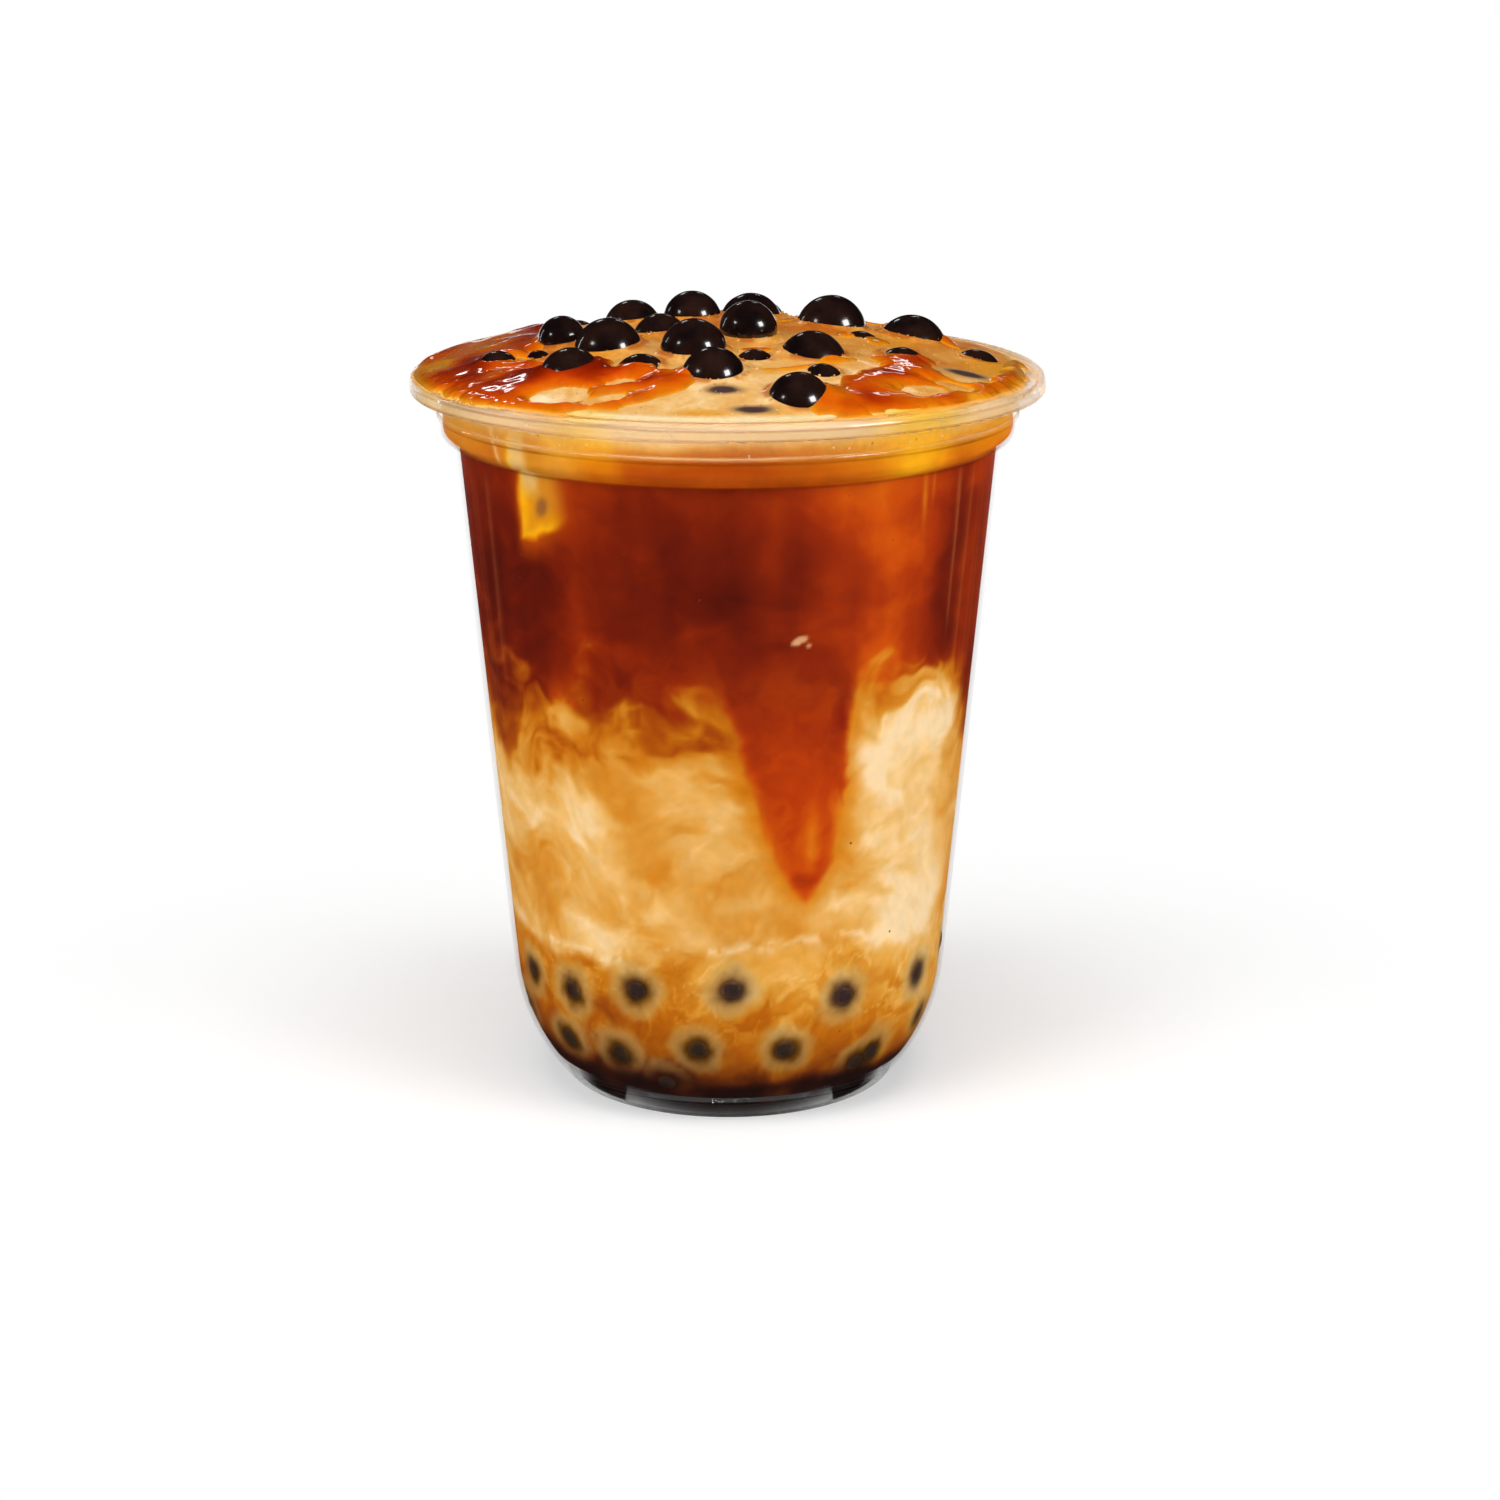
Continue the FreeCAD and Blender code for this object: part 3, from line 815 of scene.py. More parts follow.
def foam_height(x, y):
    """Dome plus swell plus the climb round the pearls. Each climb is a third of what its pearl
    shows, but no more than CLIMB. It falls as e to the minus distance from the waterline over
    its reach, where climbs meet they add as the cube root of cubes, and it ends at the edge."""
    place = on_plane(x / MM, y / MM)
    inner = smooth_step(foam_edge, foam_edge - 5 * MM, np.hypot(x, y))
    swell = 1.3 * cloud_noise(place, 11, 151, octaves=2) + 0.12 * cloud_noise(place, 2.4, 156, octaves=2)
    climb = np.zeros_like(x)
    for centre, line, rise in zip(pearl_centres, waterlines, climbs):
        away = np.clip(np.hypot(x - centre[0], y - centre[1]) - line, 0, None)
        climb = climb + (rise * np.exp(-away / CLIMB_REACH)) ** 3
    return dome_height(x, y) + inner * (swell * MM * 0.45 + np.cbrt(climb))


print("dome radius %.0f mm, waterlines %.1f to %.1f mm"
      % (DOME_RADIUS / MM, waterlines.min() / MM, waterlines.max() / MM))

# %% [markdown]
# The foam's colour is worked out in the plane as well. It is a tan cream with paler patches, and
# golden where sauce has soaked in beside the pools. Three pearls lie just under the surface
# and show as soft grey-brown shadows. At the neck the side of the heap takes the colour of
# the filling, so that it runs on into the drink below.

# %% The paint of the foam
SUNKEN_SHADOWS = [(35.8, -15.8, 3.4, 1.7), (-0.3, -35.0, 2.3, 1.3), (3.8, -42.1, 2.7, 1.2)]
GOLDEN_PATCHES = [(24, -2, 6, 7, 0.9), (40, -6, 6, 13, 1.0), (34, -30, 8, 4, 0.8),
                  (-20, -42, 6, 3, 0.9), (-31, -37, 5, 4, 0.8), (-30, -17, 5, 4, 0.9),
                  (33, 18, 7, 12, 0.6), (8, -10, 3, 4, 0.5), (-8, 14, 9, 8, 0.5), (12, 22, 10, 8, 0.5),
                  (-19, -15, 4, 4, 0.6), (6, -27, 4, 2, 0.5), (16, -10, 3, 8, 0.5),
                  (-5, 34, 14, 6, 0.5), (-5, -45, 7, 3, 0.8), (6, -43, 5, 2.5, 0.6)]
FOAM_RAMP = [(0.0, (194, 98, 20)), (0.25, (216, 134, 44)), (0.5, (230, 164, 78)),
             (0.75, (240, 188, 114)), (1.0, (249, 212, 154))]
GOLDEN = (226, 150, 40)
SYRUP = (178, 84, 14)
SHADOW_RIM = (196, 150, 92)
SHADOW = (74, 52, 50)


def paint_foam(x, y):
    """Colour of the foam's top at a place in mm: a ramp by cloud noise, paler in front, with
    golden patches, rings of syrup at the pearls' feet, and the shadows of the sunken pearls."""
    place = on_plane(x, y)
    warp = 2.5 * cloud_noise(place, 5, 161)
    flow = even_noise(swirled(place, 9, 1.3, 163), 6, 166)
    front = smooth_step(-4, -30, y + 0.2 * np.abs(x))
    share = 0.31 + 0.4 * front + 0.13 * flow + 0.25 * cloud_noise(place, 1.6, 171, octaves=2)
    colour = ramp(share, FOAM_RAMP)
    for *where, depth in GOLDEN_PATCHES:
        near = oval(x + warp, y + warp, *where)
        colour = tint(colour, GOLDEN, depth * smooth_step(0.25, 0.9, near))
    foot = np.full(x.shape, FAR)
    for centre, line in zip(pearl_centres / MM, waterlines / MM):
        foot = np.minimum(foot, np.abs(np.hypot(x - centre[0], y - centre[1]) - line - 0.35))
    syrup = bell(foot / 0.75) * smooth_step(-0.6, 1.4, flow + 2 * even_noise(place, 2.5, 176))
    colour = tint(colour, SYRUP, 0.75 * syrup)
    for at_x, at_y, wide, deep in SUNKEN_SHADOWS:
        reach = np.hypot((x + 0.5 * warp - at_x) / wide, (y + 0.3 * warp - at_y) / deep)
        colour = tint(colour, SHADOW_RIM, smooth_step(1.7, 1.0, reach))
        colour = tint(colour, SHADOW, smooth_step(1.15, 0.55, reach))
    return colour


# %% [markdown]
# The mesh of the heap runs from the neck up the flare, over the foam's edge and along the dome
# to its middle. The rings of the side come from the frame, moved into the wall by the skin.

# %% The heap of foam
HEAP_COLUMNS = 512
DOME_RINGS = 166
SIDE_RINGS = 16


def dim_at_slant(tree, shader, weight, least):
    """The coat's weight, falling to a least value where the surface is seen at a slant, since the
    backdrop would lie there as a white veil."""
    slant = node(tree, "LayerWeight", {"Blend": 0.5}).outputs["Facing"]
    tree.links.new(mapped(tree, slant, 0.74, 0.93, weight, least), shader.inputs["Coat Weight"])


def let_light_under(shader, share, reach, distance):
    """A little light passes under the surface: its share, how far each colour of it reaches, and
    the distance in mm that they are shares of."""
    shader.inputs["Subsurface Weight"].default_value = share
    shader.inputs["Subsurface Radius"].default_value = reach
    shader.inputs["Subsurface Scale"].default_value = distance * MM


def foam_material():
    """Milk foam: the paint with fine pores of several sizes, dull but moist, and a little light
    that passes under the surface."""
    material, tree, shader = new_material("milk_foam", Roughness=0.4, Coat_Roughness=0.08,
                                          Specular_IOR_Level=0.2)
    let_light_under(shader, 0.12, (1.0, 0.6, 0.25), 0.8)
    dim_at_slant(tree, shader, 0.35, 0.1)
    colour, grain, place = grained(tree, 0.9 * MM, 0.92, 1.07, detail=5.0)
    colour = specked(tree, colour, place, 1.3 * MM, 0.16, (0.42, 0.15, 0.02, 1), 0.16)
    colour = specked(tree, colour, place, 0.8 * MM, 0.2, (0.92, 0.75, 0.5, 1), 0.12)
    tree.links.new(colour, shader.inputs["Base Color"])
    pores = node(tree, "TexVoronoi", {"Vector": place, "Scale": 1 / (0.55 * MM)}, feature="SMOOTH_F1")
    fine = bumped(tree, shader, pores.outputs["Distance"], 0.12, 0.08)
    bumped(tree, shader, grain, 0.12, 0.15, Normal=fine)
    return material


side_level, side_radius = skin_profile(flare_levels, flare_radii, SIDE_RINGS)
heap_turn = turns_round(HEAP_COLUMNS)
side = turned(side_radius, heap_turn, side_level)
dome_radius = np.linspace(foam_edge, 0, DOME_RINGS + 1)[:-1, None]
dome = turned(dome_radius, heap_turn, 0 * dome_radius)
dome[..., 2] = foam_height(dome[..., 0], dome[..., 1])
middle = foam_height(np.zeros(1), np.zeros(1))[0]
heap_points = np.concatenate([side.reshape(-1, 3), dome.reshape(-1, 3),
                              [[0, 0, side_level[0, 0]], [0, 0, middle]]])

side_paint = paint_wall(heap_turn + 0 * side_level, side[..., 2] / MM)
from_edge = smooth_step(foam_edge - 0.2 * MM, foam_edge - 2.2 * MM, dome_radius + 0 * heap_turn)
top_paint = tint(side_paint[-1], paint_foam(dome[..., 0] / MM, dome[..., 1] / MM), from_edge)
heap_paint = np.concatenate([side_paint.reshape(-1, 3), top_paint.reshape(-1, 3),
                             side_paint[:1].mean(1), top_paint[-1:].mean(1)])
add_piece("foam_heap", heap_points, closed_faces(SIDE_RINGS + DOME_RINGS, HEAP_COLUMNS),
          foam_material(), heap_paint, ["foam_top"])

# %% [markdown]
# ## Caramel sauce
#
# Sauce lies on the foam in pools with ragged edges, and at the left it has run out over the rim
# itself. It is thick in the middle and its edge is steep, as a thick syrup's is. Each pool is
# an outline drawn in the plane. The distance inside the outline, bent by noise,
# gives the thickness, which rises fast and levels off. Outside, the same formula goes below
# the foam, so the visible edge is simply where the two surfaces cross.

# %% Distances in the plane
def inside_outline(x, y, corners):
    """Distance in mm from a closed outline, positive inside: the least distance to any side,
    with the sign by how often a ray to the right crosses the sides."""
    corners = np.array(corners, float)
    nearest = np.full(x.shape, np.inf)
    crossings = np.zeros(x.shape, bool)
    for (ax, ay), (bx, by) in zip(corners, np.roll(corners, -1, axis=0)):
        along = np.clip(((x - ax) * (bx - ax) + (y - ay) * (by - ay))
                        / ((bx - ax) ** 2 + (by - ay) ** 2), 0, 1)
        nearest = np.minimum(nearest, np.hypot(x - ax - along * (bx - ax), y - ay - along * (by - ay)))
        if by != ay:
            crosses = ((ay > y) != (by > y)) & (x < (bx - ax) * (y - ay) / (by - ay) + ax)
            crossings ^= crosses
    return np.where(crossings, nearest, -nearest)


def inside_oval(x, y, at_x, at_y, wide, deep, turn=0.0):
    """Roughly the distance inside an oval of two half axes in mm, turned by degrees: one less
    the reach in half axes, times the shorter of them."""
    angle = math.radians(turn)
    across = (x - at_x) * math.cos(angle) + (y - at_y) * math.sin(angle)
    up = (y - at_y) * math.cos(angle) - (x - at_x) * math.sin(angle)
    return (1 - np.hypot(across / wide, up / deep)) * min(wide, deep)


# %% The outlines of the pools
LEFT_POOL = [(-50, 8), (-49.5, -5), (-46.5, -15), (-42, -23.5), (-36, -31), (-30, -36), (-24.5, -40),
             (-16, -40.5), (-9, -36.5), (-4.2, -32.8), (-6.5, -28.5), (-11, -25.5), (-15.5, -23.5),
             (-17, -20.5), (-22, -20.5), (-28.5, -15), (-29.5, -10), (-26.5, -5), (-25.5, 0),
             (-28, 5), (-29, 14), (-27, 19), (-29.5, 24), (-25.5, 29), (-27.5, 34), (-22.5, 38.5),
             (-24.5, 43), (-33, 40), (-42, 31), (-48, 18)]
# Islands of bare foam in the left pool; the thin one at (-16, -30.5) is a painted highlight, pale foam
# left bare where the wet sauce gleams.
LEFT_ISLANDS_AND_HIGHLIGHTS = [(-24, -33, 4.2, 2.8, -20), (-17, -36, 3.0, 1.4, 10), (-16, -30.5, 2.6, 1.1, 25),
                (-31.5, -13.5, 1.8, 1.3, 0), (-28, -20, 2.0, 0.8, -20)]
RIGHT_POOL = [(11, -40.5), (12, -36.5), (15.5, -31.5), (17, -27), (20.5, -23.5), (23, -20), (21, -16),
              (25, -13), (29, -10.5), (31.5, -12.5), (31.5, -18), (34.5, -21), (38.5, -19), (41, -12),
              (42.5, -3), (45, 3), (45.8, -6), (44.8, -13), (42, -20.5), (38, -27), (33.4, -32.4),
              (28.6, -36.6), (23, -39.9), (18, -42.4), (13, -43.2)]
# Islands of bare foam in the right pool, which also stand in for the cream highlights on the wet sauce:
# painted highlights.
RIGHT_ISLANDS_AND_HIGHLIGHTS = [(28, -29, 3.6, 1.4, 30), (33.5, -24, 2.0, 1.0, -20), (25.5, -39.2, 3.2, 0.9, 28)]
DROPS = [(4.2, -17, 2.6, 1.7, 10), (16.5, -20.5, 3.6, 1.0, 35), (3, -10.5, 2.0, 1.2, 0),
         (9.5, -26, 4.5, 0.7, 12), (-2.5, -24, 1.6, 0.8, 40), (23, -4, 2.6, 2.0, 60),
         (-4, -13, 2.2, 0.9, -30), (-13, -8, 1.6, 1.0, 0), (18, -2, 1.4, 1.8, 0),
         (34, 6, 2.0, 3.5, 20), (10, 12, 3.0, 1.5, 30), (-12, 24, 4.0, 1.6, -20),
         (22, 26, 4.5, 1.8, -35), (2, 38, 5.0, 1.6, 5), (-18, 37, 3.0, 1.4, 20)]


def pool_depth(x, y, outline, islands_and_highlights):
    """Distance in mm inside a pool: inside its outline and outside its islands of bare foam, some of
    which are painted highlights, with noise added for the ragged edge."""
    depth = inside_outline(x, y, outline)
    for bare_patch in islands_and_highlights:
        depth = np.minimum(depth, -inside_oval(x, y, *bare_patch))
    return depth + 3.4 * cloud_noise(swirled(on_plane(x, y), 8, 1.2, 176), 6, 181, octaves=3)


def drops_depth(x, y):
    """Distance in mm inside the nearest drop, with its edge made uneven."""
    depth = np.full(x.shape, -FAR)
    for drop in DROPS:
        depth = np.maximum(depth, inside_oval(x, y, *drop))
    return depth + 1.3 * cloud_noise(on_plane(x, y), 2.2, 191, octaves=3)


# %% [markdown]
# The sauce lies on whatever is under it, which is the foam, and the rim at the left. Over that
# ground the thickness is laid, with a slow swell, because a thick syrup never settles quite flat.

# %% The mesh of the sauce
CELL = 0.27 * MM
SINK = 0.45 * MM
SAUCE_EDGE = rim_radius - 0.75 * MM


def sauce_ground(x, y):
    """Height under the sauce: the foam inside its edge, the flat top of the rim outside it."""
    return np.where(np.hypot(x, y) < foam_edge, foam_height(x, y), cup_top)


def sauce_thickness(x, y, depth, full, edge):
    """Thickness over the ground: full times 1 minus e to the minus depth over edge, with a slow
    swell where it is thick. Outside the pool it is negative, down to the sink."""
    base = full * (1 - np.exp(-np.clip(depth, -3, None) / edge))
    swell = 1.6 * cloud_noise(swirled(on_plane(x / MM, y / MM), 9, 1.0, 193), 8, 196, octaves=2)
    return np.clip(base * MM + swell * smooth_step(0, 2.5, depth) * 0.6 * MM, -SINK, None)


def add_sauce(name, low, high, depth_of, full, edge):
    """A closed sheet over a grid of cells between two corners: the top follows ground plus
    thickness, the underside lies in the foam, and they share points where there is no sauce."""
    x, y = np.meshgrid(np.arange(low[0] * MM, high[0] * MM, CELL),
                       np.arange(low[1] * MM, high[1] * MM, CELL))
    ends = (SAUCE_EDGE - np.hypot(x, y)) / MM
    thick = sauce_thickness(x, y, np.minimum(depth_of(x / MM, y / MM), ends), full, edge)
    ground = sauce_ground(x, y)
    top = np.stack([x, y, ground + thick], axis=-1).reshape(-1, 3)
    under = np.stack([x, y, ground - SINK], axis=-1).reshape(-1, 3)
    wet = thick > -SINK
    upper = np.arange(x.size).reshape(x.shape)
    lower = np.where(wet, upper + x.size, upper)
    kept = wet[:-1, :-1] | wet[1:, :-1] | wet[:-1, 1:] | wet[1:, 1:]
    top_faces = np.stack([upper[:-1, :-1], upper[:-1, 1:], upper[1:, 1:], upper[1:, :-1]], axis=-1)[kept]
    low_faces = np.stack([lower[1:, :-1], lower[1:, 1:], lower[:-1, 1:], lower[:-1, :-1]], axis=-1)[kept]
    used, faces = np.unique(np.concatenate([top_faces, low_faces]), return_inverse=True)
    paint = paint_sauce(x / MM, y / MM, thick / MM).reshape(-1, 3)
    print("  thickest %.2f mm" % (thick.max() / MM))
    return add_piece(name, np.concatenate([top, under])[used], [faces.reshape(-1, 4)], sauce_material,
                     np.concatenate([paint, paint])[used], sharp=180)


# %% [markdown]
# A thin layer of caramel is golden, a thick one red-brown. So its paint follows the thickness,
# with a few darker cores where the sauce is deepest and golden ones where light gets through.
# The gloss is strong and clear, with a bump of long soft waves, which breaks the reflections
# into many short lines.

# %% The finish of the sauce
SAUCE_RAMP = [(-0.4, (240, 176, 60)), (0.1, (236, 150, 26)), (0.3, (224, 118, 10)),
              (0.6, (224, 102, 5)), (1.0, (208, 76, 3)), (1.4, (178, 50, 2)), (2.0, (132, 26, 1))]
DARK_CORES = [(-28, -25, 7, 3.2), (-20, -27, 5, 3), (-30, 10, 3, 10), (-30, 27, 3, 7), (28, -16, 3, 3),
              (24, -24, 5, 2.5), (-38, -12, 3, 6), (-12, -31, 4, 2), (22, -36, 5, 3), (32, -29, 4, 3)]
GOLD_CORES = [(-36, -2, 4, 5), (-34, -22, 3, 2), (-36, 22, 3, 8), (34, -28, 5, 2.5), (43, -6, 2, 8),
              (-44, -6, 3, 7), (17, -36, 3, 3), (-38, 24, 7, 14), (-40, 4, 5, 9)]


def paint_sauce(x, y, thick):
    """Colour of the sauce by its thickness in mm, redder in the dark cores, yellower in the
    golden ones, and drifting with noise."""
    tone = thick + 1.3 * cloud_noise(on_plane(x, y), 5, 206) * smooth_step(0, 0.8, thick)
    for cores, change in ((DARK_CORES, 0.8), (GOLD_CORES, -0.6)):
        for core in cores:
            tone = tone + change * oval(x, y, *core)
    return ramp(np.where(thick > 0.05, np.maximum(tone, 0.0), thick), SAUCE_RAMP)


sauce_material, sauce_tree, sauce_shader = new_material(
    "caramel_sauce", Roughness=0.12, Coat_Roughness=0.02, Coat_IOR=1.5, IOR=1.45,
    Specular_IOR_Level=0.3)
let_light_under(sauce_shader, 0.1, (1.2, 0.4, 0.08), 0.8)
dim_at_slant(sauce_tree, sauce_shader, 1.0, 0.2)
sauce_colour, _, sauce_place = grained(sauce_tree, 3.0 * MM, 0.88, 1.12)
sauce_tree.links.new(sauce_colour, sauce_shader.inputs["Base Color"])
waves = node(sauce_tree, "TexNoise", {"Vector": sauce_place, "Scale": 200.0, "Detail": 1.0,
                                      "Distortion": 0.6})
wavy_normal = bumped(sauce_tree, sauce_shader, waves.outputs["Fac"], 0.35, 0.35)
sauce_tree.links.new(wavy_normal, sauce_shader.inputs["Coat Normal"])

# %% The pools of sauce
add_sauce("caramel_left", (-49, -49), (1, 49),
          lambda x, y: pool_depth(x, y, LEFT_POOL, LEFT_ISLANDS_AND_HIGHLIGHTS), full=1.15, edge=1.1)
add_sauce("caramel_right", (5, -46), (49, 10),
          lambda x, y: pool_depth(x, y, RIGHT_POOL, RIGHT_ISLANDS_AND_HIGHLIGHTS), full=0.8, edge=1.1)
add_sauce("caramel_drops", (-22, -32), (40, 43), drops_depth, full=0.6, edge=0.8)

# %% [markdown]
# ## The sunk pearls
#
# Behind the wall each pearl is a whole ball that just touches the plastic. Only a small
# cap of it comes through the drink's skin, and it stays within the thickness of the wall. The
# balls are joined into one piece, since they share one finish. A cap takes the colour that the
# wall has at its place, so the milk seems to run over its edge.

# %% The sunk pearls
SUNK_RADIUS = 4.6 * MM
POKE = 0.25 * MM
SUNK_COLOUR = np.array((44.0, 30.0, 26.0))


def skin_radius(level):
    """Radius of the drink's skin at a level, from the rings of the two layers."""
    levels = np.concatenate([milk_levels, wall_levels])
    radii = np.concatenate([milk_radii, coffee_radii[~past_wall]])
    return np.interp(level, levels, radii) + SKIN


def wall_normal(turn, level):
    """Outward direction of the wall at a turn in degrees and a level: the radius tipped down by
    the slope of the skin there."""
    slope = (skin_radius(level + 0.5 * MM) - skin_radius(level - 0.5 * MM)) / MM
    angle = math.radians(turn)
    return Vector((math.sin(angle), -math.cos(angle), -slope)).normalized()


def simple_material(name, size, low, high, **values):
    """A material that shows the paint, made lighter and darker by fine noise."""
    material, tree, shader = new_material(name, **values)
    tree.links.new(grained(tree, size, low, high)[0], shader.inputs["Base Color"])
    return material


sunk_directions, sunk_faces = ball(18, 32)
sunk_points = []
sunk_paint = []
sunk_parts = []
for number, (turn, level_mm) in enumerate(SUNK_PEARLS):
    level = level_mm * MM
    outward = np.array(wall_normal(turn, level))
    centre = turned(skin_radius(level), turn, level) - outward * (SUNK_RADIUS - POKE)
    uneven = 1 + 0.02 * cloud_noise(sunk_directions + 5.1 * number, 0.8, 211, octaves=2)
    points = centre + SUNK_RADIUS * uneven[:, None] * sunk_directions
    seen = paint_wall(np.degrees(np.arctan2(points[:, 0], -points[:, 1])), points[:, 2] / MM)
    cap = smooth_step(0.6, 0.8, sunk_directions @ outward)
    sunk_points.append(points)
    sunk_paint.append(tint(SUNK_COLOUR, seen, cap))
    sunk_parts += [part + number * len(sunk_directions) for part in sunk_faces]
add_piece("sunk_pearls", np.concatenate(sunk_points), sunk_parts,
          simple_material("sunk_tapioca", 1.2 * MM, 0.7, 1.3, Roughness=0.4, Specular_IOR_Level=0.2),
          np.concatenate(sunk_paint))

# %% [markdown]
# ## Bubbles
#
# Small bubbles gather where foam meets a pearl, and others lie loose all over the top. Each is
# a tiny ball half sunk in the foam. There are hundreds, so a bubble has only a few dozen faces,
# and all of them are worked out as one array of points.

# %% The bubbles
random = np.random.default_rng(23)
LOOSE_BUBBLES = 700
bubble_directions, bubble_faces = ball(4, 8)


def round_about(middle, away, angle):
    """Places in the plane at distances and angles from a middle."""
    return middle + np.stack([away * np.cos(angle), away * np.sin(angle)], -1)


def scatter_bubbles():
    """Places and sizes of the bubbles: on each pearl's waterline with a falling distance, and
    loose over the foam; small ones are the most common."""
    places = []
    for centre, line in zip(pearl_centres, waterlines):
        count = int(10 + 6 * line / MM)
        angle = random.uniform(0, FULL_TURN, count)
        away = line + random.exponential(0.35, count) * MM
        places.append(round_about(centre[:2], away, angle))
    angle = random.uniform(0, FULL_TURN, LOOSE_BUBBLES)
    away = (foam_edge - 1.2 * MM) * np.sqrt(random.uniform(0, 1, LOOSE_BUBBLES))
    places = np.concatenate([*places, round_about(0, away, angle)])
    sizes = (0.08 + 0.2 * random.beta(1.3, 4.0, len(places))) * MM
    inside = np.hypot(places[:, 0], places[:, 1]) < foam_edge - 0.6 * MM
    return places[inside], sizes[inside]


bubble_places, bubble_sizes = scatter_bubbles()
bubble_heights = foam_height(bubble_places[:, 0], bubble_places[:, 1]) + 0.15 * bubble_sizes
bubble_centres = np.column_stack([bubble_places, bubble_heights])
bubble_points = bubble_centres[:, None, :] + bubble_sizes[:, None, None] * bubble_directions
shift = (np.arange(len(bubble_centres)) * len(bubble_directions))[:, None, None]
bubble_parts = [(part[None] + shift).reshape(-1, part.shape[1]) for part in bubble_faces]
bubble_paint = paint_foam(bubble_places[:, 0] / MM, bubble_places[:, 1] / MM)
bubble_paint = np.repeat(tint(bubble_paint, (250, 226, 184), np.full(len(bubble_paint), 0.25)),
                         len(bubble_directions), axis=0)
add_piece("foam_bubbles", bubble_points.reshape(-1, 3), bubble_parts,
          simple_material("foam_bubble", 1.0 * MM, 0.85, 1.1, Roughness=0.1, Coat_Weight=0.6,
                          Coat_Roughness=0.04),
          bubble_paint, sharp=180)

# %% [markdown]
# ## The cup
#
# The cup's own solid stays, since its shape is right: rim, ridge, shoulder and foot. It is a
# clear plastic with a high polish. Clear shells cast a dark shadow in a path tracer, since a
# lamp's light isn't followed through them. So for shadow rays alone the plastic is made
# transparent, and lamps reach the drink. Where the wall is seen at a slant it would draw grey
# lines, so it turns transparent there too.
#
# The rim and its ridges are thick, and thick plastic gathers the light of the foam and the
# drink. That light is painted on: pale bands of painted reflection and highlight, dark lines of
# painted shade at the shoulder and under the ridge, laid on by the level, and a painted gold
# reflection where sauce lies near.

# %% The painted light of the rim
# Painted light: the pale bands are painted reflections and highlights; the dark lines at -10.65 and -6.55
# mm are painted shade.
RIM_LIGHT_BANDS = [
    (-10.95, (96, 26, 1), 0.0), (-10.65, (96, 26, 1), 0.5), (-10.35, (96, 26, 1), 0.0),
    (-6.85, (110, 38, 2), 0.0), (-6.55, (110, 38, 2), 0.6), (-6.25, (110, 38, 2), 0.0),
    (-6.2, (248, 206, 140), 0.0), (-5.65, (248, 206, 140), 0.65), (-5.3, (248, 206, 140), 0.0),
    (-4.1, (253, 214, 152), 0.1), (-3.0, (254, 218, 158), 0.5), (-2.75, (255, 232, 190), 0.75),
    (-2.4, (212, 142, 68), 0.6), (-2.1, (254, 222, 166), 0.6), (-1.35, (254, 224, 172), 0.6),
    (-1.05, (206, 140, 72), 0.6), (-0.75, (255, 236, 200), 0.7), (-0.3, (254, 220, 164), 0.5),
    (0.0, (252, 214, 150), 0.35),
]
# A painted reflection of the sauce: gold multiplied into the bands near it.
REFLECTED_GOLD = (1.0, 0.88, 0.14, 1)
GOLD_REFLECTION_SPOTS = [(29, -39, 9, 0.9), (-22, -43, 5, 0.6), (-45, -20, 7, 0.5)]


def painted_rim_light(tree, place):
    """Colour and share of the painted reflections, highlights and shade lines that a thick rim and
    its ridges show, by the level in mm from the top of the cup: a colour ramp with the share as
    its alpha, and a painted gold reflection near the sauce."""
    low = RIM_LIGHT_BANDS[0][0]
    level = node(tree, "SeparateXYZ", {"Vector": place}).outputs["Z"]
    along = mapped(tree, level, cup_top + low * MM, cup_top)
    rim_light_ramp = node(tree, "ValToRGB", {"Fac": along})
    stops = rim_light_ramp.color_ramp.elements
    for number, (at, colour, share) in enumerate(RIM_LIGHT_BANDS):
        last = number == len(RIM_LIGHT_BANDS) - 1
        stop = stops[0] if number == 0 else stops[-1] if last else stops.new(1 - at / low)
        stop.color = (*to_light(colour), share)
    cloud = node(tree, "TexNoise", {"Vector": place, "Scale": 55.0, "Detail": 3.0})
    patchy = mapped(tree, cloud.outputs["Fac"], 0.38, 0.62, 0.45, 1.0)
    share = reckoned(tree, "MULTIPLY", rim_light_ramp.outputs["Alpha"], patchy)
    colour = rim_light_ramp.outputs["Color"]
    for x, y, reach, most in GOLD_REFLECTION_SPOTS:
        middle = (x * MM, y * MM, cup_top - 3 * MM)
        away = node(tree, "VectorMath", {0: place, 1: middle}, operation="DISTANCE").outputs["Value"]
        near = mapped(tree, away, 1.3 * reach * MM, 0.4 * reach * MM, 0.0, most)
        colour = node(tree, "Mix", {"Factor": near, "A": colour, "B": REFLECTED_GOLD}, data_type="RGBA",
                      blend_type="MULTIPLY").outputs["Result"]
    return colour, share


# %% The clear plastic
def blended(tree, share, first, second):
    """Two shaders, the second by its share."""
    return node(tree, "MixShader", {0: share, 1: first, 2: second}).outputs[0]


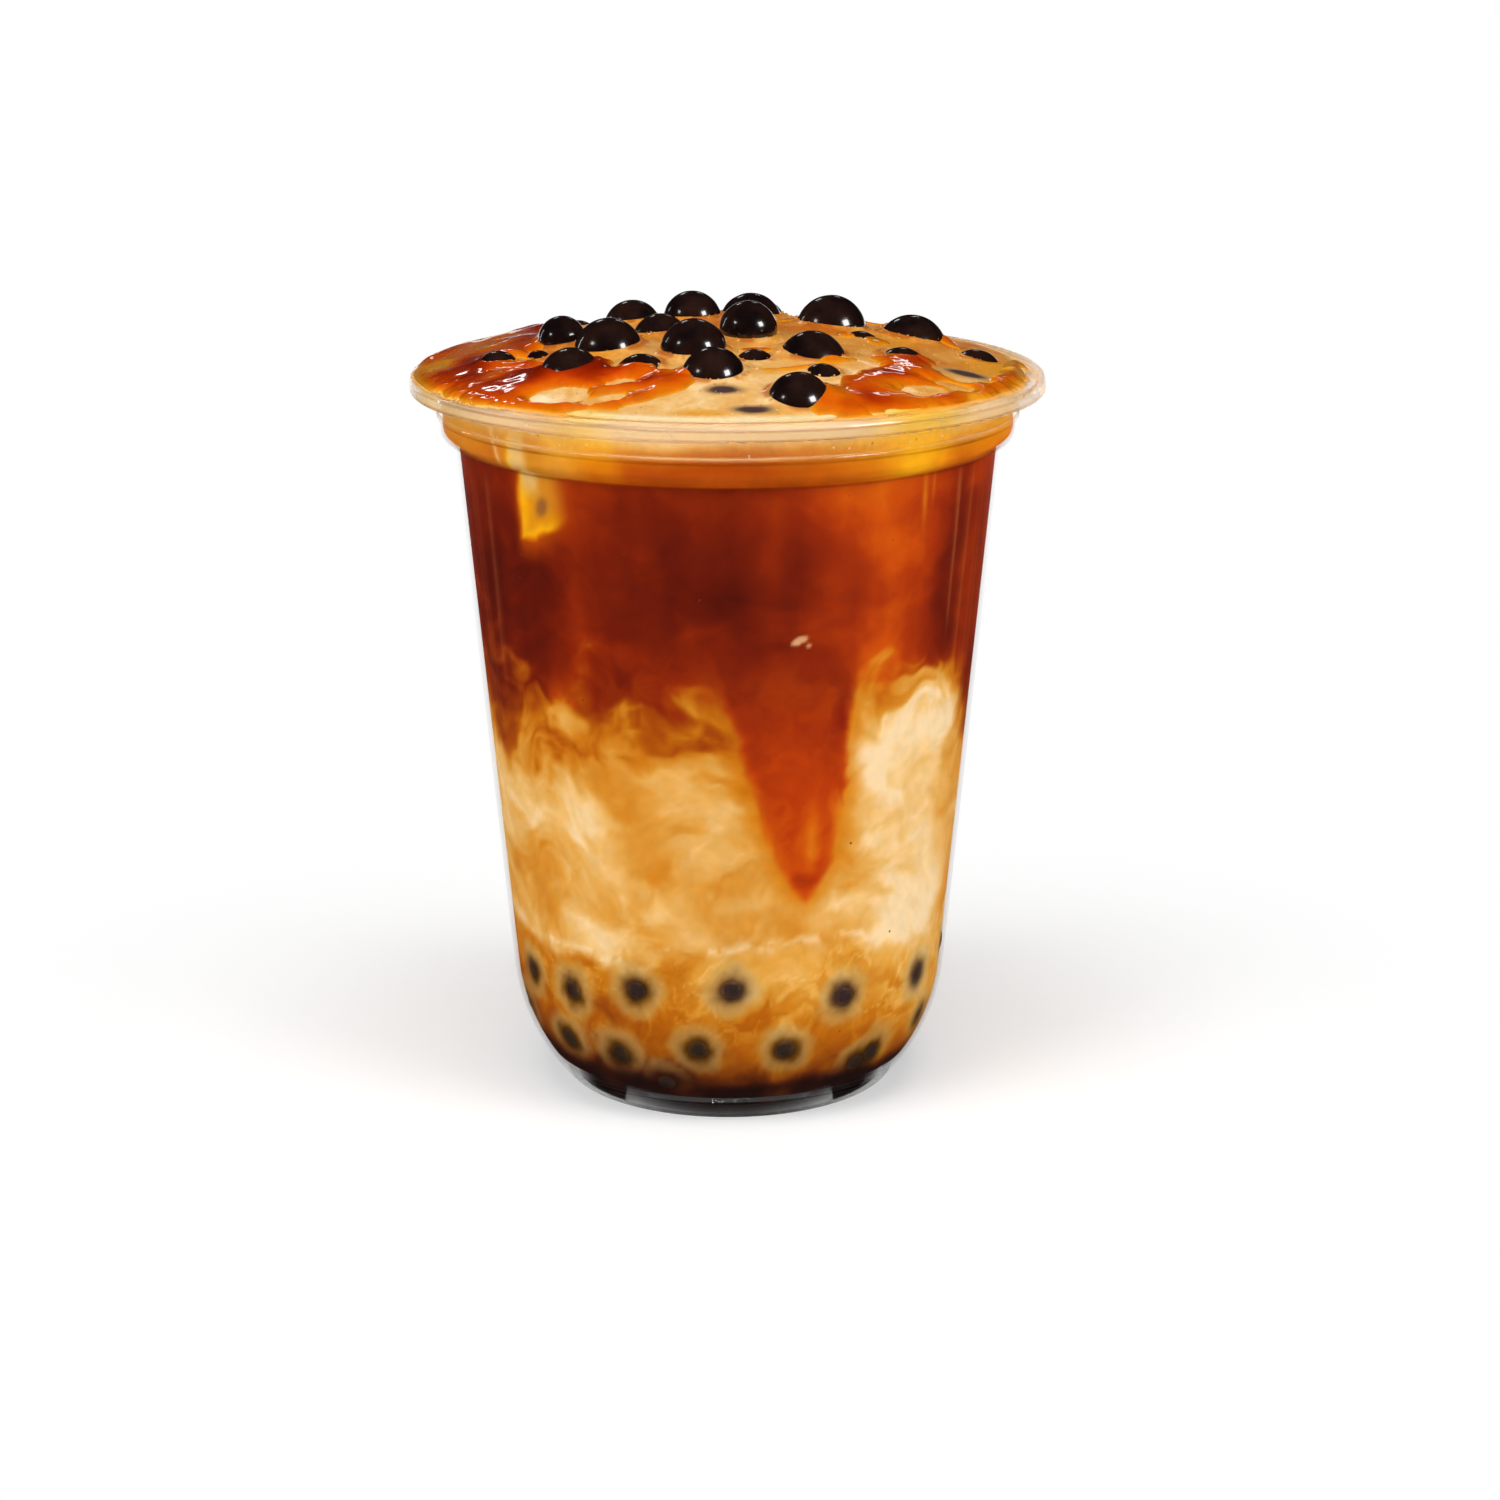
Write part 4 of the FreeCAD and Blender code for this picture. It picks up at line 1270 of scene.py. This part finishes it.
cup_material, cup_tree, cup_shader = new_material("clear_plastic", Transmission_Weight=1.0, IOR=1.46)
cup_shader.inputs["Base Color"].default_value = (1.0, 1.0, 1.0, 1)
cup_place = node(cup_tree, "TexCoord").outputs["Object"]
upright = node(cup_tree, "Mapping", {"Vector": cup_place, "Scale": (1.0, 1.0, 0.12)}).outputs["Vector"]
haze = node(cup_tree, "TexNoise", {"Vector": upright, "Scale": 90.0, "Detail": 3.0}).outputs["Fac"]
cup_tree.links.new(mapped(cup_tree, haze, 0.3, 0.7, 0.01, 0.05), cup_shader.inputs["Roughness"])
bumped(cup_tree, cup_shader, haze, 0.05, 1.0)

see_through = node(cup_tree, "BsdfTransparent").outputs[0]
slant = node(cup_tree, "LayerWeight", {"Blend": 0.5}).outputs["Facing"]
thin_edge = mapped(cup_tree, slant, 0.45, 0.92, 0.0, 0.9, interpolation_type="SMOOTHSTEP")
thinned = blended(cup_tree, thin_edge, cup_shader.outputs[0], see_through)
# The painted reflections, highlights and shade lines of the rim, laid over the clear plastic by their
# share.
rim_light_colour, rim_light_share = painted_rim_light(cup_tree, cup_place)
rim_light_shader = node(cup_tree, "BsdfPrincipled", {"Base Color": rim_light_colour, "Roughness": 0.15, "IOR": 1.46})
with_rim_light = blended(cup_tree, rim_light_share, thinned, rim_light_shader.outputs[0])
shadow_ray = node(cup_tree, "LightPath").outputs["Is Shadow Ray"]
cup_tree.links.new(blended(cup_tree, shadow_ray, with_rim_light, see_through),
                   cup_tree.nodes["Material Output"].inputs["Surface"])
nodes["cup"].data.materials.clear()
nodes["cup"].data.materials.append(cup_material)
print("cup:", len(nodes["cup"].data.polygons), "faces in clear plastic")

# %% [markdown]
# ## Floor and surroundings
#
# The drink stands on a white floor that keeps its soft shadow. Near the cup the floor is a
# lit surface with a little glow of its own, so that it comes out white where no shadow falls.
# Further out it passes into the white of the surroundings, by the distance from the middle.
# A white floor in front would lie as a grey veil over the dark coffee, mirrored in the plastic.
# A studio puts black card there, so in reflections the floor is dark in front of the cup.

# %% The floor
SMOOTHLY = {"interpolation_type": "SMOOTHSTEP"}


def rays(tree):
    """Whether a ray comes from the camera, straight or through clear plastic, and whether it is
    a reflection."""
    ray = node(tree, "LightPath")
    seen = reckoned(tree, "MAXIMUM", ray.outputs["Is Camera Ray"], ray.outputs["Is Transmission Ray"])
    return seen, ray.outputs["Is Glossy Ray"]


def glowing(tree, strength):
    """A white glow of a strength."""
    return node(tree, "Emission", {"Color": (1, 1, 1, 1), "Strength": strength}).outputs[0]


bpy.ops.mesh.primitive_circle_add(vertices=96, radius=6.0, fill_type="NGON", location=(0, 0, 0))
floor = bpy.context.object
floor.name = "floor"
floor_material, floor_tree, floor_shader = new_material("white_floor", Roughness=0.9,
                                                        Specular_IOR_Level=0.1)
floor_shader.inputs["Base Color"].default_value = (0.72, 0.72, 0.72, 1)
floor_seen, floor_glossy = rays(floor_tree)
floor_place = node(floor_tree, "TexCoord").outputs["Object"]
from_middle = node(floor_tree, "VectorMath", {0: floor_place}, operation="LENGTH").outputs["Value"]
fade = mapped(floor_tree, from_middle, 0.055, 0.15, **SMOOTHLY)
lit = node(floor_tree, "AddShader", {0: floor_shader.outputs[0], 1: glowing(floor_tree, 0.4)}).outputs[0]
shown = blended(floor_tree, fade, lit, glowing(floor_tree, 1.0))
floor_parts = node(floor_tree, "SeparateXYZ", {"Vector": floor_place})
aside = reckoned(floor_tree, "ABSOLUTE", floor_parts.outputs["X"])
straight_back = reckoned(floor_tree, "SUBTRACT", floor_parts.outputs["Y"], aside)
mirrored = glowing(floor_tree, mapped(floor_tree, straight_back, 0.1, 0.4, 0.02, 1.2, **SMOOTHLY))
as_bounce = blended(floor_tree, floor_glossy, floor_shader.outputs[0], mirrored)
floor_tree.links.new(blended(floor_tree, floor_seen, as_bounce, shown),
                     floor_tree.nodes["Material Output"].inputs["Surface"])
floor.data.materials.append(floor_material)
floor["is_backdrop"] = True

# %% [markdown]
# The world is plain white where it is seen, straight on or through the clear plastic. As a
# light it is softer. In reflections only a low white wall behind the cup is bright, as in a
# studio with black card round the rest: dark drinks and pearls keep their depth, wet tops keep
# their colour, and the edges of the cup and of each pearl get a pale line.

# %% The surroundings
world = bpy.data.worlds.new("white_studio")
bpy.context.scene.world = world
world.use_nodes = True
sky = world.node_tree
background = sky.nodes["Background"]
parts = node(sky, "SeparateXYZ", {"Vector": node(sky, "TexCoord").outputs["Generated"]})
behind = mapped(sky, parts.outputs["Y"], 0.7, 0.95, **SMOOTHLY)
low_down = mapped(sky, parts.outputs["Z"], 0.22, 0.06, **SMOOTHLY)
wall_light = reckoned(sky, "MULTIPLY_ADD", behind, low_down, 0.06)
sky_seen, sky_glossy = rays(sky)
as_light = node(sky, "Mix", {"Factor": sky_glossy, "A": 0.75, "B": wall_light}, data_type="FLOAT")
strength = node(sky, "Mix", {"Factor": sky_seen, "A": as_light.outputs[0], "B": 1.0}, data_type="FLOAT")
sky.links.new(strength.outputs[0], background.inputs["Strength"])

# %% [markdown]
# Three soft boxes light the drink: a key at the right in front, a fill at the left, and a broad
# one above that evens out the top. They don't show in reflections. Five others do, and light
# nothing: they are the square gleams on the pearls, the pale lines on the wet top, and an
# upright line on the cup.

# %% Lamps
middle_of_cup = Vector((0, 0, 0.07))


def add_soft_box(name, turn, lift, away, wide, tall, glow, gleam_only=False):
    """A rectangular lamp at a turn to the right of the front and a lift in degrees, aimed at the
    middle of the cup. Its power is glow times pi times its area, and a gleam-only lamp shows in
    reflections but lights nothing."""
    angle = math.radians(turn)
    up = math.radians(lift)
    heading = Vector((math.sin(angle) * math.cos(up), -math.cos(angle) * math.cos(up), math.sin(up)))
    light = bpy.data.lights.new(name, "AREA")
    light.shape = "RECTANGLE"
    light.size = wide
    light.size_y = tall
    light.energy = glow * math.pi * wide * tall
    lamp = bpy.data.objects.new(name, light)
    lamp.location = middle_of_cup + away * heading
    lamp.rotation_euler = (-heading).to_track_quat("-Z", "Y").to_euler()
    lamp.visible_diffuse = not gleam_only
    lamp.visible_glossy = gleam_only
    bpy.context.scene.collection.objects.link(lamp)
    print(name, "at", [round(value, 2) for value in lamp.location])


add_soft_box("key", 60, 36, 0.9, 0.45, 0.40, 5.8)
add_soft_box("fill", -54, 34, 1.0, 0.6, 0.6, 4.7)
add_soft_box("overhead", 0, 80, 1.1, 0.8, 0.8, 3.4)
add_soft_box("key_gleam", 55, 30, 0.9, 0.28, 0.24, 17, gleam_only=True)
add_soft_box("fill_gleam", -62, 34, 1.0, 0.16, 0.12, 9, gleam_only=True)
add_soft_box("back_gleam", 172, 26, 1.2, 0.12, 0.04, 3, gleam_only=True)
add_soft_box("back_left_gleam", -166, 31, 1.2, 0.14, 0.05, 6, gleam_only=True)
add_soft_box("left_strip", -122, 8, 1.0, 0.016, 0.6, 12, gleam_only=True)

# %% [markdown]
# ## The camera
#
# The camera looks slightly down from a little over half a metre, so that both the heap and the
# wall show.

# %% Camera
camera_data = bpy.data.cameras.new("camera")
camera_data.lens = 82.87
camera_data.sensor_width = 36.0
camera_data.clip_end = 50
camera = bpy.data.objects.new("camera", camera_data)
camera.location = (3.41 * MM, -529.35 * MM, 201.37 * MM)
aim = Vector((3.41 * MM, 0, 52.08 * MM))
camera.rotation_euler = (aim - camera.location).to_track_quat("-Z", "Y").to_euler()
bpy.context.scene.collection.objects.link(camera)
bpy.context.scene.camera = camera
bpy.context.scene.view_settings.view_transform = "Standard"

# %% Size and finish
dressed_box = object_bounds()
boxes = {"cad": [list(corner) for corner in cad_box], "visual": [list(corner) for corner in dressed_box]}
for label, corners in boxes.items():
    print(label, [[round(value / MM, 2) for value in corner] for corner in corners])
